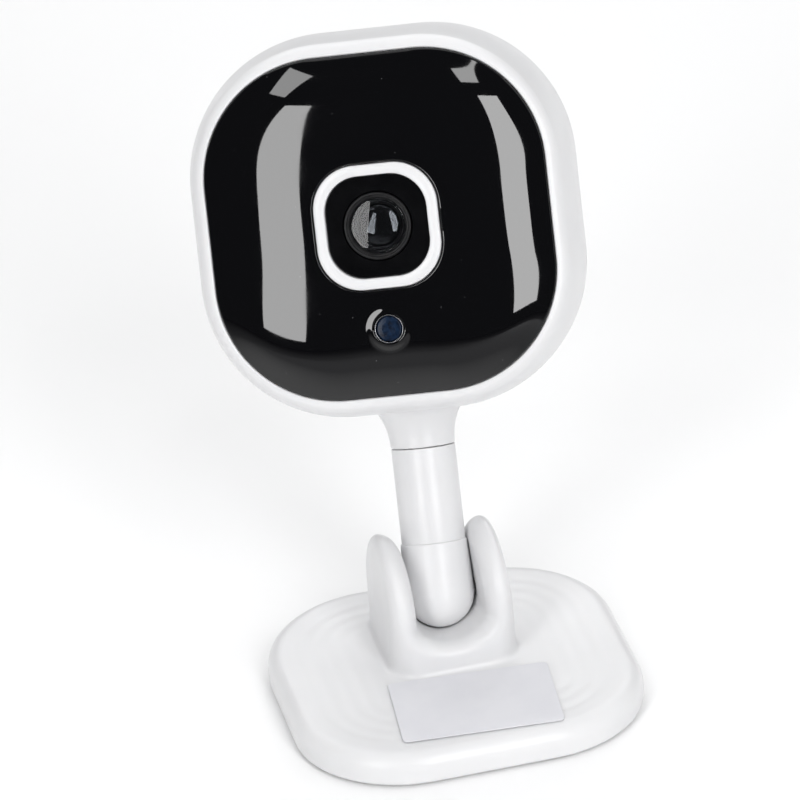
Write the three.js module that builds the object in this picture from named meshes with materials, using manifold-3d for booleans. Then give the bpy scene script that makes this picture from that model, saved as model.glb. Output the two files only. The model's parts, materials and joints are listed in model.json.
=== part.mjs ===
// Mini security camera on a tilting stand.
// Millimetres, +Z up, front towards -Y, origin at the centre of the underside.
// A flat base carries a U-shaped yoke. A short arm tilts in the yoke, and the
// head swivels on top of the arm. The head holds the lens, boards and speaker.
import * as THREE from 'three';
import { mergeVertices } from 'three/addons/utils/BufferGeometryUtils.js';
import Module from 'manifold-3d';

const wasm = await Module();
wasm.setup();

// ---------------------------------------------------------------- driving dimensions

const FIT_GAP = 0.3; // clearance between neighbouring pieces

const BASE_WIDTH = 61.4;
const BASE_DEPTH = 58.2;
const BASE_CORNER = 19.8;
const BASE_HEIGHT = 5.9;
const BASE_EDGE = 3.0; // rounding of the upper edge
const BASE_WALL = 2.2;
const BASE_ROOF = 1.8; // thickness of the top over the hollow
const PAD_PROUD = 0.4; // the pad lifts the shell this far off the table
const LABEL_WIDTH = 27.9;
const LABEL_DEPTH = 19.3;
const LABEL_CENTRE_Y = -15.7;
const LABEL_TURN = THREE.MathUtils.degToRad(-5);

const PIVOT_Y = 7.6;
const PIVOT_Z = 14.9;
const YOKE_RADIUS = 12.0;
const YOKE_HALF_FOOT = 11.3;
const YOKE_HALF_TOP = 10.5;
const YOKE_ROUNDING = 3.0;
const CHANNEL_HALF = 6.45;

const TILT_BACK = THREE.MathUtils.degToRad(25.1);
const SIDE_LEAN = THREE.MathUtils.degToRad(3.6); // slack of the pin in its sockets
const HEAD_TURN = THREE.MathUtils.degToRad(-18.1);

const KNUCKLE_RADIUS = 6.05;
const KNUCKLE_TOP_RADIUS = 5.7;
const KNUCKLE_TOP = 8.9;
const POST_RADIUS = 5.56;
const SWIVEL_SEAM = 25.6;
const SPIGOT_RADIUS = 3.7; // the head turns on this end of the post
const SPIGOT_TOP = 36.6;
const STUB_RADIUS = 3.1; // end of the knuckle inside the post
const STUB_TOP = 16.0;
const SWIVEL_SEAT = 35.5; // floor of the washer's recess in the head
const PIN_RADIUS = 1.25;
const PIN_HALF = 8.6;

const HEAD_HEIGHT = 66.0; // head centre above the pivot, along the arm
const HEAD_SQUARENESS = 0.745; // corner radius over half width of the head's outline
const HEAD_HALF = 32.9;
const HEAD_FRONT = -27.4;
const HEAD_SEAM = -12.0;
const HEAD_BACK = 10.5;
const HEAD_WALL = 2.0;

const PANEL_HALF = 29.0;
const PANEL_SQUARENESS = 0.707;
const PANEL_EDGE_Y = -27.6;
const PANEL_RISE = 4.0; // how far the panel's middle stands in front of its edge
const PANEL_FLATNESS = 3.5; // higher keeps more of the middle flat
const PANEL_THICKNESS = 2.0;

const RING_FACE = -32.0; // the lens and its window are set back from this face
const RING_HALF = 10.55;
const RING_INNER = 8.7;
const RING_SQUARENESS = 0.7;
const LENS_RADIUS = 5.7;
const GLASS_RADIUS = 4.55;
const GLASS_CURVE = 18.0; // radius of the glass's front
const SENSOR_DROP = 17.5; // light sensor and infrared lamps: distance from the lens
const SENSOR_RADIUS = 2.2;
const LAMP_PLACES = 7; // the lamps share a ring with the light sensor

const BOARD_THICKNESS = 1.6;
const MAIN_BOARD_HALF = 23.5;
const LED_BOARD_HALF = 24.0;
const LED_BOARD_THICKNESS = 1.2;
const MAIN_BOARD_Y = -12.0;
const LED_BOARD_Y = -21.3;
const IO_BOARD_Y = 2.6;
const IO_HEIGHT = -15.0;
const HOUSING_SCREW_AT = 21.5;
const STANDOFF_X = 18.5;
const STANDOFF_Z = -8.0;
const SPEAKER_Z = 7.0;
const BASE_SCREW_X = 20.0;
const BASE_SCREW_Y = 18.0;

const ROUND = 20; // sides of a full-size round piece
const SMALL = 10; // sides of a small round piece

// ---------------------------------------------------------------- finishes

function finish(color, roughness, metalness) {
  return () => new THREE.MeshStandardMaterial({ color, roughness, metalness });
}

const whitePlastic = finish(0xf1f1f4, 0.35, 0);
const blackGloss = finish(0x050506, 0.06, 0);
const blackPlastic = finish(0x141416, 0.5, 0);
const lensGlass = finish(0x1b2030, 0.03, 0);
const sensorGlass = finish(0x1c2a48, 0.1, 0);
const silverTrim = finish(0xb8bcc2, 0.25, 1);
const labelPaper = finish(0xd9d9df, 0.7, 0);
const steel = finish(0x9fa3a8, 0.35, 1);
const rubber = finish(0x2a2a2c, 0.85, 0);
const boardGreen = finish(0x1d5a36, 0.5, 0);
const chipBlack = finish(0x1a1a1c, 0.45, 0);
const lampResin = finish(0x2b1f33, 0.15, 0);
const statusResin = finish(0xc7d6e6, 0.2, 0);
const magnetSteel = finish(0x75787d, 0.4, 1);
const copperFilm = finish(0xb07a3c, 0.4, 1);

// ---------------------------------------------------------------- solid tools

// Welds a geometry into a closed, outward-facing shell with positions only.
function weld(geometry) {
  const bare = geometry.clone();
  for (const name of Object.keys(bare.attributes)) {
    if (name !== 'position') {
      bare.deleteAttribute(name);
    }
  }
  const welded = mergeVertices(bare, 1e-4);
  const corners = welded.index.array;
  const spots = welded.attributes.position;
  const kept = [];
  let volume = 0;
  const a = new THREE.Vector3();
  const b = new THREE.Vector3();
  const c = new THREE.Vector3();
  for (let i = 0; i < corners.length; i += 3) {
    const [p, q, r] = [corners[i], corners[i + 1], corners[i + 2]];
    if (p === q || q === r || r === p) {
      continue;
    }
    kept.push(p, q, r);
    a.fromBufferAttribute(spots, p);
    b.fromBufferAttribute(spots, q);
    c.fromBufferAttribute(spots, r);
    volume += a.dot(b.cross(c));
  }
  if (volume < 0) {
    kept.reverse();
  }
  welded.setIndex(kept);
  return welded;
}

function toManifold(geometry) {
  const welded = weld(geometry);
  const vertProperties = new Float32Array(welded.attributes.position.array);
  const triVerts = new Uint32Array(welded.index.array);
  return new wasm.Manifold(new wasm.Mesh({ numProp: 3, vertProperties, triVerts }));
}

function fromManifold(manifold) {
  const mesh = manifold.getMesh();
  const geometry = new THREE.BufferGeometry();
  geometry.setAttribute('position', new THREE.BufferAttribute(mesh.vertProperties, 3));
  geometry.setIndex(new THREE.BufferAttribute(mesh.triVerts, 1));
  return geometry;
}

// Joins the added geometries to the first one, then takes the removed ones away.
function carve(start, { add = [], keep = [], remove = [], addLast = [], removeLast = [] }) {
  let body = toManifold(start);
  add.forEach((piece) => { body = body.add(toManifold(piece)); });
  keep.forEach((piece) => { body = body.intersect(toManifold(piece)); });
  remove.forEach((piece) => { body = body.subtract(toManifold(piece)); });
  addLast.forEach((piece) => { body = body.add(toManifold(piece)); });
  removeLast.forEach((piece) => { body = body.subtract(toManifold(piece)); });
  return fromManifold(body);
}

// ---------------------------------------------------------------- basic shapes

function roundedRectangle(halfX, halfY, corner) {
  const shape = new THREE.Shape();
  const x = halfX - corner;
  const y = halfY - corner;
  shape.moveTo(-x, -halfY);
  shape.lineTo(x, -halfY);
  shape.absarc(x, -y, corner, -Math.PI / 2, 0, false);
  shape.absarc(x, y, corner, 0, Math.PI / 2, false);
  shape.absarc(-x, y, corner, Math.PI / 2, Math.PI, false);
  shape.absarc(-x, -y, corner, Math.PI, 1.5 * Math.PI, false);
  return shape;
}

// Extrudes a shape along Z between two heights, with an optional rounded rim at both ends.
function prismZ(shape, low, high, rounding = 0, curveSegments = 5) {
  const geometry = new THREE.ExtrudeGeometry(shape, {
    depth: high - low - 2 * rounding,
    curveSegments,
    bevelEnabled: rounding > 0,
    bevelThickness: rounding,
    bevelSize: rounding,
    bevelOffset: -rounding,
    bevelSegments: 3,
  });
  geometry.translate(0, 0, low + rounding);
  return geometry;
}

// The shape's x stays X, its y becomes Z, and it is extruded along Y.
function prismY(shape, low, high, rounding = 0, curveSegments = 5) {
  const geometry = prismZ(shape, -high, -low, rounding, curveSegments);
  geometry.rotateX(Math.PI / 2);
  return geometry;
}

// The shape's x becomes Y, its y becomes Z, and it is extruded along X.
function prismX(shape, low, high, rounding = 0, curveSegments = 5) {
  const geometry = prismZ(shape, low, high, rounding, curveSegments);
  const toY = new THREE.Vector3(0, 1, 0);
  const toZ = new THREE.Vector3(0, 0, 1);
  const toX = new THREE.Vector3(1, 0, 0);
  geometry.applyMatrix4(new THREE.Matrix4().makeBasis(toY, toZ, toX));
  return geometry;
}

function rodY(radius, low, high, x = 0, z = 0, sides = SMALL) {
  const geometry = new THREE.CylinderGeometry(radius, radius, high - low, sides);
  geometry.translate(x, (low + high) / 2, z);
  return geometry;
}

function rodZ(radius, low, high, x = 0, y = 0, sides = SMALL) {
  const geometry = rodY(radius, low, high, 0, 0, sides);
  geometry.rotateX(Math.PI / 2);
  geometry.translate(x, y, 0);
  return geometry;
}

function rodX(radius, low, high, y = 0, z = 0, sides = SMALL) {
  const geometry = rodY(radius, -high, -low, 0, 0, sides);
  geometry.rotateZ(Math.PI / 2);
  geometry.translate(0, y, z);
  return geometry;
}

function block(sizeX, sizeY, sizeZ, x, y, z) {
  const geometry = new THREE.BoxGeometry(sizeX, sizeY, sizeZ);
  geometry.translate(x, y, z);
  return geometry;
}

function toPoints(pairs) {
  return pairs.map(([radius, along]) => new THREE.Vector2(radius, along));
}

function turnedY(pairs, sides = ROUND) {
  return new THREE.LatheGeometry(toPoints(pairs), sides);
}

function turnedZ(pairs, sides = ROUND) {
  const geometry = turnedY(pairs, sides);
  geometry.rotateX(Math.PI / 2);
  geometry.scale(1, -1, 1);
  return geometry;
}

// Distance from the centre to a unit rounded square's outline, at an angle.
function squareReach(angle, squareness) {
  const across = Math.max(Math.abs(Math.cos(angle)), Math.abs(Math.sin(angle)));
  const along = Math.min(Math.abs(Math.cos(angle)), Math.abs(Math.sin(angle)));
  const flat = 1 - squareness;
  if (along / across <= flat) {
    return 1 / across;
  }
  const toCentre = flat * (across + along);
  return toCentre + Math.sqrt(toCentre * toCentre - 2 * flat * flat + squareness * squareness);
}

// A profile carried round the Y axis on a rounded square instead of a circle.
// The squareness is a function of the half width, so corners can soften outwards.
function squareTurned(pairs, squarenessAt, sides = 32) {
  const geometry = turnedY(pairs, sides);
  const spots = geometry.attributes.position;
  for (let i = 0; i < spots.count; i += 1) {
    const x = spots.getX(i);
    const z = spots.getZ(i);
    const reach = squareReach(Math.atan2(z, x), squarenessAt(Math.hypot(x, z)));
    spots.setX(i, x * reach);
    spots.setZ(i, z * reach);
  }
  return geometry;
}

// ---------------------------------------------------------------- assembly tools

const camera = new THREE.Group();

const arm = new THREE.Group();
arm.position.set(0, PIVOT_Y, PIVOT_Z);
arm.rotation.set(-TILT_BACK, SIDE_LEAN, 0, 'YXZ');
camera.add(arm);

const head = new THREE.Group();
head.position.set(0, 0, HEAD_HEIGHT);
head.rotation.z = HEAD_TURN;
arm.add(head);

function place(group, name, geometry, material) {
  const mesh = new THREE.Mesh(weld(geometry), material());
  mesh.name = name;
  group.add(mesh);
  return mesh;
}

// A pan-head screw along Z: the head is below zero, the shank above it.
function screwGeometry(headRadius, headHeight, shankRadius, length) {
  return turnedZ([
    [0, -headHeight],
    [headRadius, -headHeight],
    [headRadius, 0],
    [shankRadius, 0],
    [shankRadius, length],
    [0, length],
  ], SMALL);
}

// ---------------------------------------------------------------- base

function baseOutline(inset) {
  return roundedRectangle(BASE_WIDTH / 2 - inset, BASE_DEPTH / 2 - inset, BASE_CORNER - inset);
}

const baseScrewSpots = [
  [-BASE_SCREW_X, -BASE_SCREW_Y],
  [BASE_SCREW_X, -BASE_SCREW_Y],
  [BASE_SCREW_X, BASE_SCREW_Y],
  [-BASE_SCREW_X, BASE_SCREW_Y],
];

// Side view of the yoke, measured from the pivot: straight sides under a half round top.
function yokeBlock() {
  const footing = BASE_HEIGHT - BASE_ROOF / 2 - PIVOT_Z;
  const side = new THREE.Shape();
  side.moveTo(-YOKE_RADIUS, footing - YOKE_ROUNDING);
  side.lineTo(YOKE_RADIUS, footing - YOKE_ROUNDING);
  side.absarc(0, 0, YOKE_RADIUS, 0, Math.PI, false);
  const geometry = prismX(side, -YOKE_HALF_FOOT, YOKE_HALF_FOOT, YOKE_ROUNDING, 7);
  const spots = geometry.attributes.position;
  const narrowing = (YOKE_HALF_FOOT - YOKE_HALF_TOP) / YOKE_HALF_FOOT;
  for (let i = 0; i < spots.count; i += 1) {
    const rise = THREE.MathUtils.clamp((spots.getZ(i) - footing) / (YOKE_RADIUS - footing), 0, 1);
    spots.setX(i, spots.getX(i) * (1 - narrowing * rise));
  }
  geometry.translate(0, PIVOT_Y, PIVOT_Z);
  const belowTop = block(BASE_WIDTH, BASE_DEPTH, 20, 0, PIVOT_Y, BASE_HEIGHT - BASE_ROOF / 2 - 10);
  return carve(geometry, { remove: [belowTop] });
}

// Round-bottomed channel that runs through the yoke from front to back.
function yokeChannel() {
  const mouth = 2 * YOKE_RADIUS;
  const section = new THREE.Shape();
  section.moveTo(CHANNEL_HALF, mouth);
  section.lineTo(-CHANNEL_HALF, mouth);
  section.absarc(0, 0, CHANNEL_HALF, Math.PI, 2 * Math.PI, false);
  const geometry = prismY(section, -YOKE_RADIUS - 2, YOKE_RADIUS + 2, 0, 7);
  geometry.translate(0, PIVOT_Y, PIVOT_Z);
  return geometry;
}

function buildBaseShell() {
  const plate = prismZ(baseOutline(0), PAD_PROUD - BASE_EDGE, BASE_HEIGHT, BASE_EDGE);
  const belowRim = block(2 * BASE_WIDTH, 2 * BASE_DEPTH, 10, 0, 0, PAD_PROUD - 5);
  const hollowTop = BASE_HEIGHT - BASE_ROOF;
  const hollow = prismZ(baseOutline(BASE_WALL), PAD_PROUD - 1, hollowTop);
  const socketDepth = PIN_HALF + FIT_GAP;
  const bosses = baseScrewSpots.map(([x, y]) => rodZ(2.2, 2.1, hollowTop + 0.5, x, y));
  const screwHoles = baseScrewSpots.map(([x, y]) => rodZ(1.05, 2, hollowTop + 0.4, x, y));
  return carve(plate, {
    remove: [belowRim, hollow],
    addLast: [yokeBlock(), ...bosses],
    removeLast: [yokeChannel(), rodX(2.1, -socketDepth, socketDepth, PIVOT_Y, PIVOT_Z), ...screwHoles],
  });
}

// Steel plate that keeps the light stand from tipping.
function buildBaseWeight() {
  const clearance = baseScrewSpots.map(([x, y]) => rodZ(2.6, 0, 5, x, y));
  return carve(prismZ(baseOutline(5), 2.2, 3.9), { remove: clearance });
}

function buildBaseCover() {
  const holes = baseScrewSpots.map(([x, y]) => rodZ(1.1, 0, 5, x, y));
  const headSeats = baseScrewSpots.map(([x, y]) => rodZ(2.1, 0, 1.35, x, y));
  const plate = prismZ(baseOutline(BASE_WALL + 0.2), 0.85, 1.9);
  return carve(plate, { remove: [...holes, ...headSeats] });
}

function buildFootPad() {
  return prismZ(baseOutline(BASE_WALL + 0.6), 0, 0.65);
}

function buildLabel() {
  const sheet = prismZ(roundedRectangle(LABEL_WIDTH / 2, LABEL_DEPTH / 2, 2), 0.05, 0.25, 0, 3);
  sheet.rotateZ(LABEL_TURN);
  sheet.translate(0.1, LABEL_CENTRE_Y, BASE_HEIGHT);
  return sheet;
}

place(camera, 'base_shell', buildBaseShell(), whitePlastic);
place(camera, 'base_weight', buildBaseWeight(), steel);
place(camera, 'base_cover', buildBaseCover(), whitePlastic);
place(camera, 'foot_pad', buildFootPad(), rubber);
place(camera, 'base_label', buildLabel(), labelPaper);
baseScrewSpots.forEach(([x, y], i) => {
  const screw = place(camera, `base_screw_${i + 1}`, screwGeometry(1.8, 0.4, 0.85, 2.3), steel);
  screw.position.set(x, y, 1.3);
});

// ---------------------------------------------------------------- arm

// Barrel with a round lower end that turns between the yoke's ears.
function buildKnuckle() {
  const profile = [];
  const steps = 5;
  for (let i = 0; i <= steps; i += 1) {
    const angle = (i / steps) * (Math.PI / 2);
    profile.push([KNUCKLE_RADIUS * Math.sin(angle), -KNUCKLE_RADIUS * Math.cos(angle)]);
  }
  profile.push([KNUCKLE_RADIUS, 2.0]);
  profile.push([(KNUCKLE_RADIUS + KNUCKLE_TOP_RADIUS) / 2 + 0.06, 5.6]);
  profile.push([KNUCKLE_TOP_RADIUS, KNUCKLE_TOP]);
  profile.push([STUB_RADIUS, KNUCKLE_TOP]);
  profile.push([STUB_RADIUS, STUB_TOP]);
  profile.push([0, STUB_TOP]);
  return carve(turnedZ(profile), { remove: [rodX(PIN_RADIUS + FIT_GAP, -PIN_HALF, PIN_HALF)] });
}

// A flat ring of square section round the Y axis.
function flatRing(inner, outer, low, high, sides = 16) {
  return turnedY([[inner, low], [outer, low], [outer, high], [inner, high], [inner, low]], sides);
}

// Tube over the knuckle's stub, closed above, with a spigot that the head turns on.
function buildPost() {
  const foot = KNUCKLE_TOP + FIT_GAP;
  const bore = STUB_RADIUS + FIT_GAP;
  const boreTop = STUB_TOP + 2;
  const screwHole = 1.4;
  const screwDepth = 9.6;
  return turnedZ([
    [bore, foot],
    [POST_RADIUS, foot],
    [POST_RADIUS, SWIVEL_SEAM],
    [SPIGOT_RADIUS, SWIVEL_SEAM],
    [SPIGOT_RADIUS, SPIGOT_TOP],
    [screwHole, SPIGOT_TOP],
    [screwHole, SPIGOT_TOP - screwDepth],
    [0, SPIGOT_TOP - screwDepth],
    [0, boreTop],
    [bore, boreTop],
    [bore, foot],
  ]);
}

// The rubber ring under the steel washer makes the swivel hold its angle.
function buildSwivelRing(inner, low, high) {
  const ring = flatRing(inner, 4.8, low, high);
  ring.rotateX(Math.PI / 2);
  return ring;
}

place(arm, 'tilt_knuckle', buildKnuckle(), whitePlastic);
place(arm, 'pivot_pin', rodX(PIN_RADIUS, -PIN_HALF, PIN_HALF), steel);
place(arm, 'swivel_post', buildPost(), whitePlastic);
const ringFoot = SWIVEL_SEAT + FIT_GAP;
const washerFoot = ringFoot + 1.2;
const washerTop = washerFoot + 0.6;
const ringInner = SPIGOT_RADIUS + FIT_GAP;
place(arm, 'swivel_friction_ring', buildSwivelRing(ringInner, ringFoot, ringFoot + 0.9), rubber);
place(arm, 'swivel_washer', buildSwivelRing(1.4, washerFoot, washerTop), steel);
const swivelScrew = place(arm, 'swivel_screw', screwGeometry(2.6, 1.5, 1.05, 9.5), steel);
swivelScrew.rotation.x = Math.PI;
swivelScrew.position.z = washerTop + FIT_GAP;

// ---------------------------------------------------------------- head shells

const housingCorners = [[-1, -1], [1, -1], [1, 1], [-1, 1]].map(
  ([x, z]) => [x * HOUSING_SCREW_AT, z * HOUSING_SCREW_AT],
);

const headSquareness = () => HEAD_SQUARENESS;

// The panel's contours are round in the middle and follow its corners at the edge.
function panelSquareness(half) {
  return THREE.MathUtils.lerp(1, PANEL_SQUARENESS, half / PANEL_HALF);
}

// The bezel follows the panel's corners inside and the head's corners outside.
function bezelSquareness(half) {
  const blend = THREE.MathUtils.clamp((half - PANEL_HALF - FIT_GAP) / 2.3, 0, 1);
  return THREE.MathUtils.lerp(PANEL_SQUARENESS, HEAD_SQUARENESS, blend);
}

// Front frame: rounded face, lip that the panel rests on, and four screw bosses.
function buildBezel() {
  const frame = squareTurned([
    [PANEL_HALF + FIT_GAP, HEAD_FRONT],
    [30.3, -27.1],
    [31.1, -26.3],
    [31.6, -25.2],
    [32.3, -21.5],
    [32.75, -18],
    [HEAD_HALF, -14.9],
    [HEAD_HALF - 0.05, HEAD_SEAM],
    [HEAD_HALF - HEAD_WALL, HEAD_SEAM],
    [30.6, -18],
    [29.9, -22.8],
    [27.6, -22.8],
    [27.6, -25.0],
    [PANEL_HALF + FIT_GAP, -25.0],
    [PANEL_HALF + FIT_GAP, HEAD_FRONT],
  ], bezelSquareness);
  const bosses = housingCorners.map(([x, z]) => rodY(2.6, -23.8, HEAD_SEAM, x, z));
  const holes = housingCorners.map(([x, z]) => rodY(1.3, -20, HEAD_SEAM + 1, x, z));
  return carve(frame, { add: bosses, remove: holes });
}

// Outside of the rear shell as a solid pillow.
function rearPillow() {
  return squareTurned([
    [0, HEAD_SEAM + FIT_GAP],
    [HEAD_HALF - 0.05, HEAD_SEAM + FIT_GAP],
    [32.7, -8],
    [32.2, -4],
    [31.0, 0],
    [28.6, 4.5],
    [25.6, 7.6],
    [22.0, 9.6],
    [18.5, HEAD_BACK],
    [0, HEAD_BACK],
  ], headSquareness);
}

function rearCavity() {
  return squareTurned([
    [0, HEAD_SEAM - 1],
    [HEAD_HALF - HEAD_WALL, HEAD_SEAM - 1],
    [30.7, -8.5],
    [30.2, -4.8],
    [29.2, -1],
    [26.9, 3.2],
    [24.1, 6.0],
    [20.9, 7.7],
    [17.9, HEAD_BACK - HEAD_WALL],
    [0, HEAD_BACK - HEAD_WALL],
  ], headSquareness);
}

// Trumpet-shaped neck that sits on the arm and flares into the rear shell.
function neckFlare() {
  const profile = [
    [0, SWIVEL_SEAM + FIT_GAP],
    [POST_RADIUS, SWIVEL_SEAM + FIT_GAP],
    [5.7, 27.6],
    [6.1, 29.4],
    [6.8, 31.2],
    [7.7, 32.8],
    [8.5, 34.6],
    [8.8, 37],
    [8.8, 44],
    [0, 44],
  ];
  const geometry = turnedZ(profile);
  geometry.translate(0, 0, -HEAD_HEIGHT);
  return geometry;
}

// Hexagonal cluster of speaker holes around the speaker's centre.
function grilleHoles() {
  const pitch = 2.6;
  const holes = [];
  for (let row = -2; row <= 2; row += 1) {
    const count = 5 - Math.abs(row);
    for (let i = 0; i < count; i += 1) {
      const x = (i - (count - 1) / 2) * pitch;
      const z = SPEAKER_Z + row * pitch * Math.sin(Math.PI / 3);
      holes.push(rodY(0.75, HEAD_BACK - HEAD_WALL - 1, HEAD_BACK + 1, x, z, 6));
    }
  }
  return holes;
}

const USB_X = -8.0;
const RESET_X = 8.0;
const CARD_Z = 8.5;
const CARD_Y = -9.2;
const MICROPHONE_X = 12.0;
const MICROPHONE_Y = -6.5;

function buildRearHousing() {
  const bosses = housingCorners.map(([x, z]) => rodY(2.8, HEAD_SEAM + FIT_GAP, HEAD_BACK - 1, x, z));
  const boardBack = MAIN_BOARD_Y + BOARD_THICKNESS + FIT_GAP;
  const standoffs = [-1, 1].map((side) => (
    rodY(2.4, boardBack, HEAD_BACK - 1, side * STANDOFF_X, STANDOFF_Z)));
  const trimmedBosses = bosses.map((boss) => carve(boss, { keep: [rearPillow()] }));
  const screwSeats = housingCorners.map(([x, z]) => rodY(2.4, 1.5, HEAD_BACK + 1, x, z));
  const screwHoles = housingCorners.map(([x, z]) => rodY(1.3, HEAD_SEAM - 1, 2, x, z));
  const boardHoles = [-1, 1].map((side) => rodY(1.1, HEAD_SEAM, -3, side * STANDOFF_X, STANDOFF_Z));
  const seat = SWIVEL_SEAT - HEAD_HEIGHT;
  const usbHole = prismY(roundedRectangle(4.2, 1.8, 1.2), HEAD_BACK - 3, HEAD_BACK + 1);
  usbHole.translate(USB_X, 0, IO_HEIGHT);
  const cardSlot = block(8, 1.8, 12.6, -HEAD_HALF, CARD_Y, CARD_Z);
  return carve(rearPillow(), {
    add: [neckFlare()],
    remove: [rearCavity()],
    addLast: [...trimmedBosses, ...standoffs],
    removeLast: [
      ...screwSeats,
      ...screwHoles,
      ...boardHoles,
      ...grilleHoles(),
      rodZ(4.0, -45, seat + 1, 0, 0, 20),
      rodZ(5.3, seat, seat + 7, 0, 0, 20),
      usbHole,
      cardSlot,
      rodY(2.3, HEAD_BACK - 3, HEAD_BACK + 1, RESET_X, IO_HEIGHT, 16),
      rodZ(0.6, -HEAD_HALF - 1, -HEAD_HALF + 4, MICROPHONE_X, MICROPHONE_Y, 8),
    ],
  });
}

place(head, 'front_bezel', buildBezel(), whitePlastic);
place(head, 'rear_housing', buildRearHousing(), whitePlastic);
housingCorners.forEach(([x, z], i) => {
  const screw = place(head, `housing_screw_${i + 1}`, screwGeometry(2.0, 1.3, 0.95, 20.5), steel);
  screw.rotation.x = Math.PI / 2;
  screw.position.set(x, 1.8, z);
});

// ---------------------------------------------------------------- front panel and optics

// Depth of the panel's front surface at a fraction of its half width.
function panelDepth(fraction) {
  return PANEL_EDGE_Y - PANEL_RISE * (1 - fraction ** PANEL_FLATNESS);
}

function buildPanel() {
  const front = [];
  const back = [];
  const steps = 6;
  for (let i = 0; i <= steps; i += 1) {
    const fraction = (i / steps) ** 0.7;
    front.push([PANEL_HALF * fraction, panelDepth(fraction)]);
    back.unshift([PANEL_HALF * fraction, panelDepth(fraction) + PANEL_THICKNESS]);
  }
  const ringHole = prismY(roundedRectangle(RING_HALF + 0.3, RING_HALF + 0.3, 7.8), -40, -20);
  return carve(squareTurned([...front, ...back], panelSquareness), {
    remove: [ringHole, rodY(SENSOR_RADIUS + 0.75, -40, -20, 0, -SENSOR_DROP, 16)],
  });
}

// White rounded-square ring with a flange behind the panel.
function buildLensRing() {
  return squareTurned([
    [RING_INNER, RING_FACE + 0.6],
    [RING_INNER + 0.5, RING_FACE],
    [RING_HALF - 0.55, RING_FACE],
    [RING_HALF, RING_FACE + 0.5],
    [RING_HALF, RING_FACE + 3.5],
    [RING_HALF + 1.45, RING_FACE + 3.5],
    [RING_HALF + 1.45, RING_FACE + 4.5],
    [RING_INNER, RING_FACE + 4.5],
    [RING_INNER, RING_FACE + 0.6],
  ], () => RING_SQUARENESS, 28);
}

// Black plate inside the ring, with a round hole for the lens.
function buildLensWindow() {
  const half = RING_INNER - 0.3;
  const outline = roundedRectangle(half, half, half * RING_SQUARENESS);
  const plate = prismY(outline, RING_FACE + 1.4, RING_FACE + 2.6);
  return carve(plate, { remove: [rodY(LENS_RADIUS + 0.3, -40, -20, 0, 0, ROUND)] });
}

function buildLensBarrel() {
  const front = RING_FACE + 1;
  const step = RING_FACE + 3.4;
  const back = -15.5;
  const bore = 3.4;
  return turnedY([
    [GLASS_RADIUS + 0.2, front],
    [LENS_RADIUS, front],
    [LENS_RADIUS, back],
    [bore, back],
    [bore, step],
    [GLASS_RADIUS + 0.2, step],
    [GLASS_RADIUS + 0.2, front],
  ]);
}

function buildLensGlass() {
  const front = RING_FACE + 1.6;
  const back = RING_FACE + 3.1;
  const profile = [0, 1.6, 3.1, GLASS_RADIUS].map((radius) => (
    [radius, front + GLASS_CURVE - Math.sqrt(GLASS_CURVE ** 2 - radius ** 2)]));
  return turnedY([...profile, [GLASS_RADIUS, back], [0, back]]);
}

// Square foot on the board with a tube that the lens screws into.
function buildLensHolder() {
  const foot = block(17, 2, 17, 0, MAIN_BOARD_Y - FIT_GAP - 1, 0);
  const tube = rodY(7.6, -21, MAIN_BOARD_Y - FIT_GAP, 0, 0, ROUND);
  const bore = rodY(LENS_RADIUS + 0.3, -40, 0, 0, 0, ROUND);
  return carve(foot, { add: [tube], remove: [bore] });
}

place(head, 'front_panel', buildPanel(), blackGloss);
place(head, 'lens_ring', buildLensRing(), whitePlastic);
place(head, 'lens_window', buildLensWindow(), blackGloss);
place(head, 'lens_barrel', buildLensBarrel(), blackPlastic);
place(head, 'lens_glass', buildLensGlass(), lensGlass);
place(head, 'lens_holder', buildLensHolder(), blackPlastic);
place(head, 'image_sensor', block(7, 1, 7, 0, MAIN_BOARD_Y - FIT_GAP - 0.5, 0), chipBlack);

// ---------------------------------------------------------------- lamps and light sensor

function buildLedBoard() {
  const half = LED_BOARD_HALF;
  const outline = roundedRectangle(half, half, half * HEAD_SQUARENESS);
  const plate = prismY(outline, LED_BOARD_Y, LED_BOARD_Y + LED_BOARD_THICKNESS);
  const window = prismY(roundedRectangle(12.3, 12.3, 4), -40, 0);
  return carve(plate, { remove: [window] });
}

// Round-nosed lamp along Y with a small flange at its foot.
function buildLamp(radius, length) {
  const foot = LED_BOARD_Y - FIT_GAP;
  return turnedY([
    [0, foot - length],
    [radius * 0.6, foot - length + radius * 0.2],
    [radius, foot - length + radius],
    [radius, foot - 1],
    [radius + 0.4, foot - 1],
    [radius + 0.4, foot],
    [0, foot],
  ], SMALL);
}

// Thin metal ring round the light sensor, in the panel's small hole.
function buildSensorSleeve() {
  return flatRing(SENSOR_RADIUS + 0.15, SENSOR_RADIUS + 0.5, -30.6, -27.4);
}

function buildLightSensor() {
  return turnedY([
    [0, -30.3],
    [SENSOR_RADIUS * 0.7, -30.15],
    [SENSOR_RADIUS, -29.8],
    [SENSOR_RADIUS, LED_BOARD_Y - FIT_GAP],
    [0, LED_BOARD_Y - FIT_GAP],
  ], 16);
}

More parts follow.
